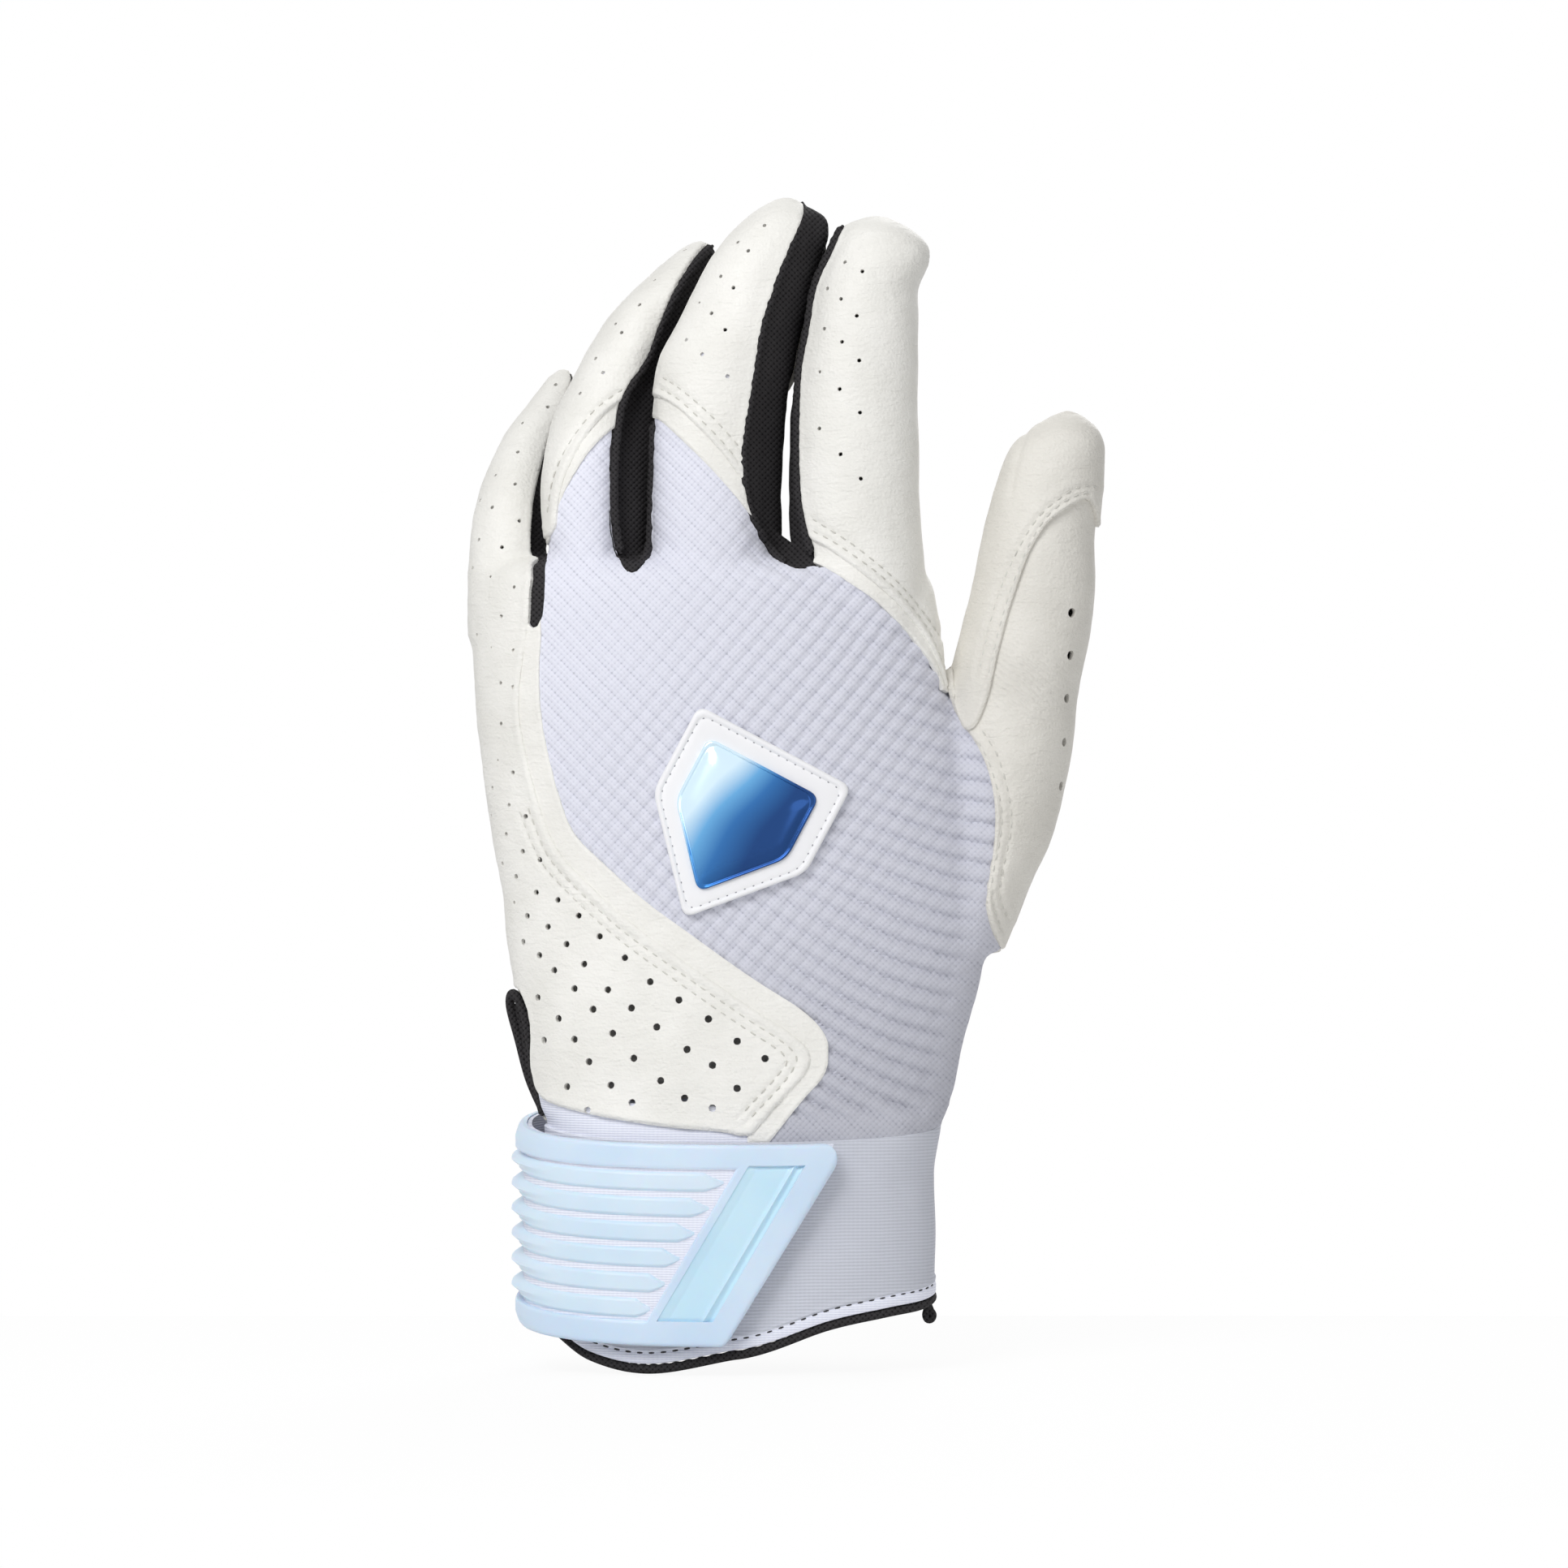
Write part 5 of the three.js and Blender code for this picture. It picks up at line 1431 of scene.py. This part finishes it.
def cuff():
    """Elastic knit with soft folds and a turned hem."""
    turns = np.radians(np.arange(*ROUND_WRIST, 0.8))
    share = np.r_[0, 0.004, 0.012, np.linspace(0.025, 0.985, 80), 0.994, 1]
    low = hem(turns)
    z = low[None] + (CUFF - 0.15 - low[None]) * share[:, None]
    angle = np.repeat(turns[None], len(share), 0)
    base = hand_point(angle, z, 0).reshape(-1, 3)
    above = z - low[None]
    folds = 0.3 * waves(base * np.array([0.45, 1, 1]), 26, 61) + 0.1 * waves(base, 9, 62)
    folds = folds.reshape(z.shape) * np.clip(above / 8, 0.3, 1) * np.clip((CUFF - z) / 4, 0, 1)
    turned = 0.32 * np.clip((3.3 - above) / 0.35, 0, 1) - 0.35 * np.exp(-((above - 2.2) / 0.35) ** 2)
    flare = 1.4 * smooth_step((base[:, 0] - THUMB_EDGE) / 10).reshape(z.shape)
    flare = flare * smooth_step((z - CUFF + 11) / 11)
    top = -0.05 + folds + turned + flare - eased(np.minimum(above, CUFF - 0.15 - z), 0.3)
    slab("cuff_knit", angle, z, top, -1.9, "cuff_knit", "cuff_band", "strap_web", above < 2.15)


def cuff_facing():
    """The cuff's inner layer, seen between the flap and the strap."""
    share = np.r_[0, 0.02, np.linspace(0.05, 0.95, 24), 0.98, 1]
    turns = np.radians(np.arange(88, 172.4, 0.9))
    z = CUFF - 7 + 14 * share[:, None] + 0 * turns[None]
    angle = turns[None] + 0 * z
    base = hand_point(angle, z, 0).reshape(-1, 3)
    top = -0.65 + 0.12 * waves(base, 10, 65).reshape(z.shape)
    top = top - eased(np.minimum(share, 1 - share)[:, None] * 14, 0.3)
    slab("cuff_facing", angle, z, np.minimum(top, -0.6), -1.7, "strap_web", "", slot="cuff_knit")


tab_frame()
for i in range(RIBS):
    pitch = (WINDOW_HIGH - WINDOW_LOW) / RIBS
    tab_rib(i + 1, WINDOW_LOW + pitch * (i + 0.5), pitch)
plate()
cuff()
cuff_facing()


# Bindings, piping and tag
ROLLED = 0.95  # radius of the rolled knit edges


def hose(name, rings, material, nodes="", bend=None):
    """A closed tube through rings of points."""
    n, m, _ = rings.shape
    points = np.concatenate([rings.reshape(-1, 3), rings[0].mean(0)[None], rings[-1].mean(0)[None]])
    i = np.arange(m)
    j = (i + 1) % m
    caps = np.concatenate([np.stack([j, i, np.full(m, n * m)], 1),
                           np.stack([i + (n - 1) * m, j + (n - 1) * m, np.full(m, n * m + 1)], 1)])
    tris = outward(points, np.concatenate([grid_tris(n, m, wrap=True), caps]))
    piece(name, points, tris, material, bend=bend, nodes=nodes)


def cuff_binding():
    """The bound edge of the cuff, finely scalloped above."""
    turns = np.radians(np.arange(*ROUND_WRIST, 0.6))
    phi = np.linspace(0, 2 * np.pi, 20, endpoint=False)
    scallop = 0.12 * np.sin(turns * 40 * 2 * np.pi / 2.4)
    out = -0.85 + 1.25 * np.cos(phi)[None] + 0.0 * turns[:, None]
    z = (hem(turns) - 1.1)[:, None] + (0.98 + scallop[:, None] * (np.sin(phi) > 0)[None]) * np.sin(phi)[None]
    angle = np.repeat(turns[:, None], 20, 1)
    hose("cuff_binding_knit", hand_point(angle, z, out), "black_knit", "cuff_binding")


def lengths(line):
    """How far along a line each of its points lies."""
    return np.r_[0, np.cumsum(np.linalg.norm(np.diff(line, axis=0), axis=1))]


def at_lengths(line, spots):
    length = lengths(line)
    return np.stack([np.interp(spots, length, line[:, k]) for k in range(line.shape[1])], 1)


def along(path, step):
    """Evenly spaced points and directions on a smooth line through the path."""
    path = np.asarray(path, float)
    ext = np.concatenate([2 * path[:1] - path[1:2], path, 2 * path[-1:] - path[-2:-1]])
    t = np.linspace(0, 1, 24, endpoint=False)[:, None]
    fine = [spline(*four, t) for four in zip(ext[:-3], ext[1:-2], ext[2:-1], ext[3:])]
    fine = np.concatenate(fine + [path[-1:]])
    end = lengths(fine)[-1]
    line = at_lengths(fine, np.linspace(0, end, max(int(end / step), 2) + 1))
    return line, unit(np.gradient(line, axis=0))


def rope(path, radius, side, step=0.5):
    """Rings of a round section along a line; the side vector fixes the section's turn."""
    line, way = along(path, step)
    first = unit(np.cross(way, np.asarray(side, float)[None]))
    second = unit(np.cross(way, first))
    phi = np.linspace(0, 2 * np.pi, 16, endpoint=False)
    return line[:, None] + radius * (np.cos(phi)[None, :, None] * first[:, None]
                                     + np.sin(phi)[None, :, None] * second[:, None])


def by_slit(name, *path):
    """Binding beside the slit; the path gives how far inwards, how far to the palm and how high."""
    y = float(hand_point(np.array([np.pi]), np.array([77.0]), 0)[0][1])
    x = lambda height: float(hand_point(np.array([np.pi]), np.array([float(height)]), 0)[0][0])
    path = [(x(height) - out, y + side, height) for out, side, height in path]
    hose(name, rope(path, ROLLED, (1, 0, 0)), "black_knit", "slit_binding")


def piping(name, path, bend):
    """Rolled knit edge along a line between a finger's leather and the knit."""
    names = [bend + "_leather", bend + "_mesh_knit", "back_mesh_knit"]
    flat, _ = along(rounded(mm(path), closed=False), 0.8)
    spots, leans = surface_at([name for name in names if name in SURFACES], flat[:, 0], flat[:, 1])
    spots = spots - leans * 0.5
    for _ in range(6):
        spots[1:-1] = (spots[:-2] + 2 * spots[1:-1] + spots[2:]) / 4
    rings = rope(spots, ROLLED, (0, 1, 0), step=0.4)
    middle = rings.mean(1, keepdims=True)
    run = np.arange(len(rings))
    uneven = 1 + 0.07 * np.sin(run * 1.35) + 0.06 * np.sin(run * 0.61 + 1)
    uneven = uneven * np.clip(np.minimum(run, run[::-1]) / 3, 0.35, 1)
    hose(name, middle + (rings - middle) * uneven[:, None, None], "black_knit", bend=bend)


def tag():
    """A folded tag at the end of the cuff's binding."""
    top = hand_point(np.radians([8.0]), hem(np.array([0.0])) - 2.3, -1.0)[0]
    loop = [(0, 0.2), (0.4, -0.8), (0.9, -1.7), (0.6, -2.6), (-0.2, -2.7), (-0.6, -1.8), (-0.4, -0.8),
            (-0.2, 0.1)]
    path = [top + np.array((x, 0, z)) for x, z in loop]
    hose("tag_loop", rope(path, 0.75, (0, 1, 0), step=0.25), "black_knit", "binding_tag")


cuff_binding()
by_slit("slit_lining_knit", (0, 0.6, CUFF + 1), (0.1, 1.2, CUFF + 9), (0.5, 2, 68), (0.5, 1.6, 74.6))
by_slit("slit_binding_knit", (-0.2, 2, CUFF + 0.8), (0.9, 2.4, CUFF + 8), (1.9, 2.4, 67), (2.2, 1.8, 73.5),
        (1.4, 0, 76.4), (0.2, -1.8, 76), (-0.7, -2.8, 71), (-0.7, -3, CUFF + 9), (-0.5, -2.9, CUFF + 0.8))
piping("ring_piping", moved(RING_GUSSET[:15], -4), "ring")
piping("middle_side_piping", [
    (770, 703), (779, 706), (790, 700), (797, 684), (800, 650), (801, 600), (802, 550), (803, 500)], "middle")
piping("middle_piping", MIDDLE_GUSSET[1:17], "middle")
piping("index_piping", moved(INDEX_GUSSET[:14], 5), "index")
tag()

# Badge: a plain home-plate outline, turned
BADGE_X, BADGE_Z, BADGE_TURN = 1.0, 112.0, math.radians(-28)
BADGE = 15.0  # by how much its outline shrinks to a point
HIGHEST = 0.86  # height of the backing's flat middle


def on_back(x, z, out):
    """Points above the back of the hand at places across and up."""
    height = z + 1.7
    for _ in range(5):
        angle = turn_at(x, height, out)
        height = height + z - hand_point(angle, height, out)[..., 2]
    return hand_point(angle, height, out)


def badge_ring(shrink, count=240):
    """The badge's outline, moved inwards, with rounded corners."""
    corners = np.array([(-0.8, 0.8), (0.8, 0.8), (0.8, -0.1), (0, -1), (-0.8, -0.1)]) * (22 - shrink)
    cos, sin = math.cos(BADGE_TURN), math.sin(BADGE_TURN)
    corners = corners @ np.array([[cos, sin], [-sin, cos]])
    t = np.linspace(0, 1, 12)[:, None]
    line = []
    for a, b, c in zip(np.roll(corners, 1, 0), corners, np.roll(corners, -1, 0)):
        p, q = (b + (end - b) / np.linalg.norm(end - b) * 2.4 for end in (a, c))
        line.append((1 - t) ** 2 * p + 2 * t * (1 - t) * b + t * t * q)
    line = np.concatenate(line)
    line = np.concatenate([line, line[:1]])
    return at_lengths(line, np.linspace(0, lengths(line)[-1], count, endpoint=False))


def plaque(name, shrink, profile, low, material, nodes):
    """A raised shape from the badge's outline inwards; the profile gives steps inwards and heights."""
    steps, tops = np.array(profile).T
    flat = badge_ring(shrink)[None] * (1 - steps / BADGE)[:, None, None]
    x, z = BADGE_X + flat[..., 0], BADGE_Z + flat[..., 1]
    tops = on_back(x, z, tops[:, None] + 0 * x)
    hose(name, np.concatenate([on_back(x[:1], z[:1], low + 0 * x[:1]), tops]), material, nodes)


edge = [(0, 0.2), (0.02, 0.6), (0.12, 0.9), (0.3, 1.08), (0.6, 1.15), (0.9, 1.08), (1.1, 0.85), (1.25, 0.72),
        (1.45, 0.78), (1.8, 0.84)]
middle = [(step, HIGHEST) for step in (2.4, 3.2, 4, 6, 9, 12, 14.9)]
plaque("badge_backing", 0, edge + middle, -0.6, "badge_white", "badge_base")
dome = [(0, 0), (0.02, 0.3), (0.1, 0.55), (0.25, 0.68), (0.45, 0.7), (0.7, 0.55), (0.85, 0.42), (1.0, 0.4),
        (1.3, 0.55), (1.8, 0.85), (2.5, 1.15), (3.5, 1.45), (4.5, 1.65), (6, 1.85), (7.5, 1.95), (9, 2.0),
        (10.5, 2.03), (12, 2.05), (13.5, 2.06), (14.9, 2.06)]
plaque("badge_shine", 6, [(step, HIGHEST + rise) for step, rise in dome], 0.5, "badge_film", "badge_film")


# Stitches
def seam(name, spots, leans, material, bend=None, dash=1.5, radius=0.17, gap=2.4, bury=0.0):
    """A row of stitches through points on a surface: short threads that dip in at both ends."""
    line, way = along(spots, gap)
    parts = []
    phi = np.linspace(0, 2 * np.pi, 6, endpoint=False)
    caps = np.array([(0, k, k + 1) for k in range(1, 5)] + [(24, 25 + k, 24 + k) for k in range(1, 5)])
    for spot, step in zip(line[:-1], way[:-1]):
        lean = leans[np.argmin(np.linalg.norm(spots - spot, axis=1))]
        cross = np.cross(step, lean)
        rings = []
        for share, size, sink in ((-0.5, 0.35, 0.2), (-0.36, 0.85, 0.02), (0, 1.0, -0.04), (0.36, 0.85, 0.02),
                                  (0.5, 0.35, 0.2)):
            middle = spot + step * dash * share - lean * (sink * radius / 0.17 + bury)
            section = np.cos(phi)[:, None] * cross + np.sin(phi)[:, None] * lean
            rings.append(middle + radius * size * section)
        parts.append((np.concatenate(rings), np.concatenate([grid_tris(5, 6, wrap=True), caps])))
    piece(name, *merge(parts), material, bend=bend)


for name, rows, leather, bend in (
        ("index", INDEX_ROWS, "index", "index"), ("middle", MIDDLE_ROWS, "middle", "middle"),
        ("ring", RING_ROWS, "ring", "ring"), ("tip", TIP_ROWS, "thumb_tip", "thumb"),
        ("flap", FLAP_ROWS, "ulnar", None), ("thumb_edge", THUMB_ROWS, "thumb_lower", "thumb")):
    for k, row in enumerate(rows):
        line, _ = along(rounded(mm(row), closed=False), 1.0)
        spots, leans = surface_at([leather + "_leather"], line[:, 0], line[:, 1])
        seam(f"{name}_stitches_{k + 1}", spots, leans, "thread", bend)

# Dark dashes along the hem, pin holes round the badge in grey painted shade, and the box sewn on the anchor
turns = np.radians(np.arange(12, 172, 1.5))
spots = hand_point(turns, hem(turns) + 2.2, -0.12)
leans = unit(hand_point(turns, hem(turns) + 2.2, 2.0) - spots)
seam("hem_stitches", spots, leans, "black_thread", dash=1.4, radius=0.22, bury=-0.1)
ring = badge_ring(0) * (1 - 1.25 / BADGE)
ring = np.concatenate([ring, ring[:1]])
x, z = BADGE_X + ring[:, 0], BADGE_Z + ring[:, 1]
spots = on_back(x, z, 0.72 + 0 * x)
leans = unit(on_back(x, z, 2.72 + 0 * x) - spots)
seam("badge_pin_holes", spots, leans, "pin_hole", dash=0.55, radius=0.2, gap=1.9, bury=0.08)
low, high = STRAP_LOW + 2.5, STRAP_HIGH - 2.5
left, right = np.radians([237.5, 258.5])
corners = [(left, low), (right, low), (right, high), (left, high), (left, low), (right, high), (left, high),
           (right, low)]
for k, (a, b) in enumerate(zip(corners[:-1], corners[1:])):
    t = np.linspace(0, 1, 30)
    turns, heights = (start + (end - start) * t for start, end in zip(a, b))
    spots = hand_point(turns, heights, WEB_OUT + 0.03)
    leans = unit(hand_point(turns, heights, WEB_OUT + 2) - spots)
    seam(f"anchor_stitches_{k + 1}", spots, leans, "thread", radius=0.2)

# Floor, light and camera
scene = bpy.context.scene
LENS, SENSOR, FRAME = 150, 36, 0.322  # FRAME: metres that the picture shows across
camera = bpy.data.objects.new("camera", bpy.data.cameras.new("camera"))
bpy.context.collection.objects.link(camera)
camera.data.lens = LENS
camera.data.sensor_width = SENSOR
camera.data.clip_start = 0.05
camera.location = (0.011, -(LENS / SENSOR * FRAME), 0.1198)
camera.rotation_euler = (math.pi / 2, 0, 0)
scene.camera = camera
scene.view_settings.view_transform = "Standard"


def lamp(name, spot, size, power, aim=(0, 0, 0.12)):
    data = bpy.data.lights.new(name, "AREA")
    data.shape = "DISK"
    data.size = size
    data.energy = power
    obj = bpy.data.objects.new(name, data)
    bpy.context.collection.objects.link(obj)
    obj.location = spot
    obj.rotation_euler = (Vector(aim) - Vector(spot)).to_track_quat("-Z", "Y").to_euler()


lamp("key", (-0.25, -0.5, 0.52), 0.4, 2.9, (0, 0, 0.14))
lamp("fill", (0.8, -0.9, 0.2), 0.8, 1.5)
lamp("rim", (0.3, 0.9, 0.7), 0.7, 5)
floor = object_of("floor", np.array([(-300.0, -260, 0), (300, -260, 0), (300, 130, 0), (-300, 130, 0)]),
                  np.array([(0, 1, 2), (0, 2, 3)]), "floor")

# The world lights softly, but the camera, mirrors and clear things see it white
scene.world = bpy.data.worlds.new("world")
scene.world.use_nodes = True
world = Graph(scene.world.node_tree)
camera_ray, glossy_ray, clear_ray = (world.node("LightPath", f"Is {kind} Ray") for kind in (
    "Camera", "Glossy", "Transmission"))
world.mix(camera_ray.calc("MAXIMUM", glossy_ray).calc("MAXIMUM", clear_ray),
          world.set("Background", Color=(1, 1, 1, 1), Strength=0.4),
          world.node("Background", Color=(1, 1, 1, 1), Strength=1.0), "World Output")
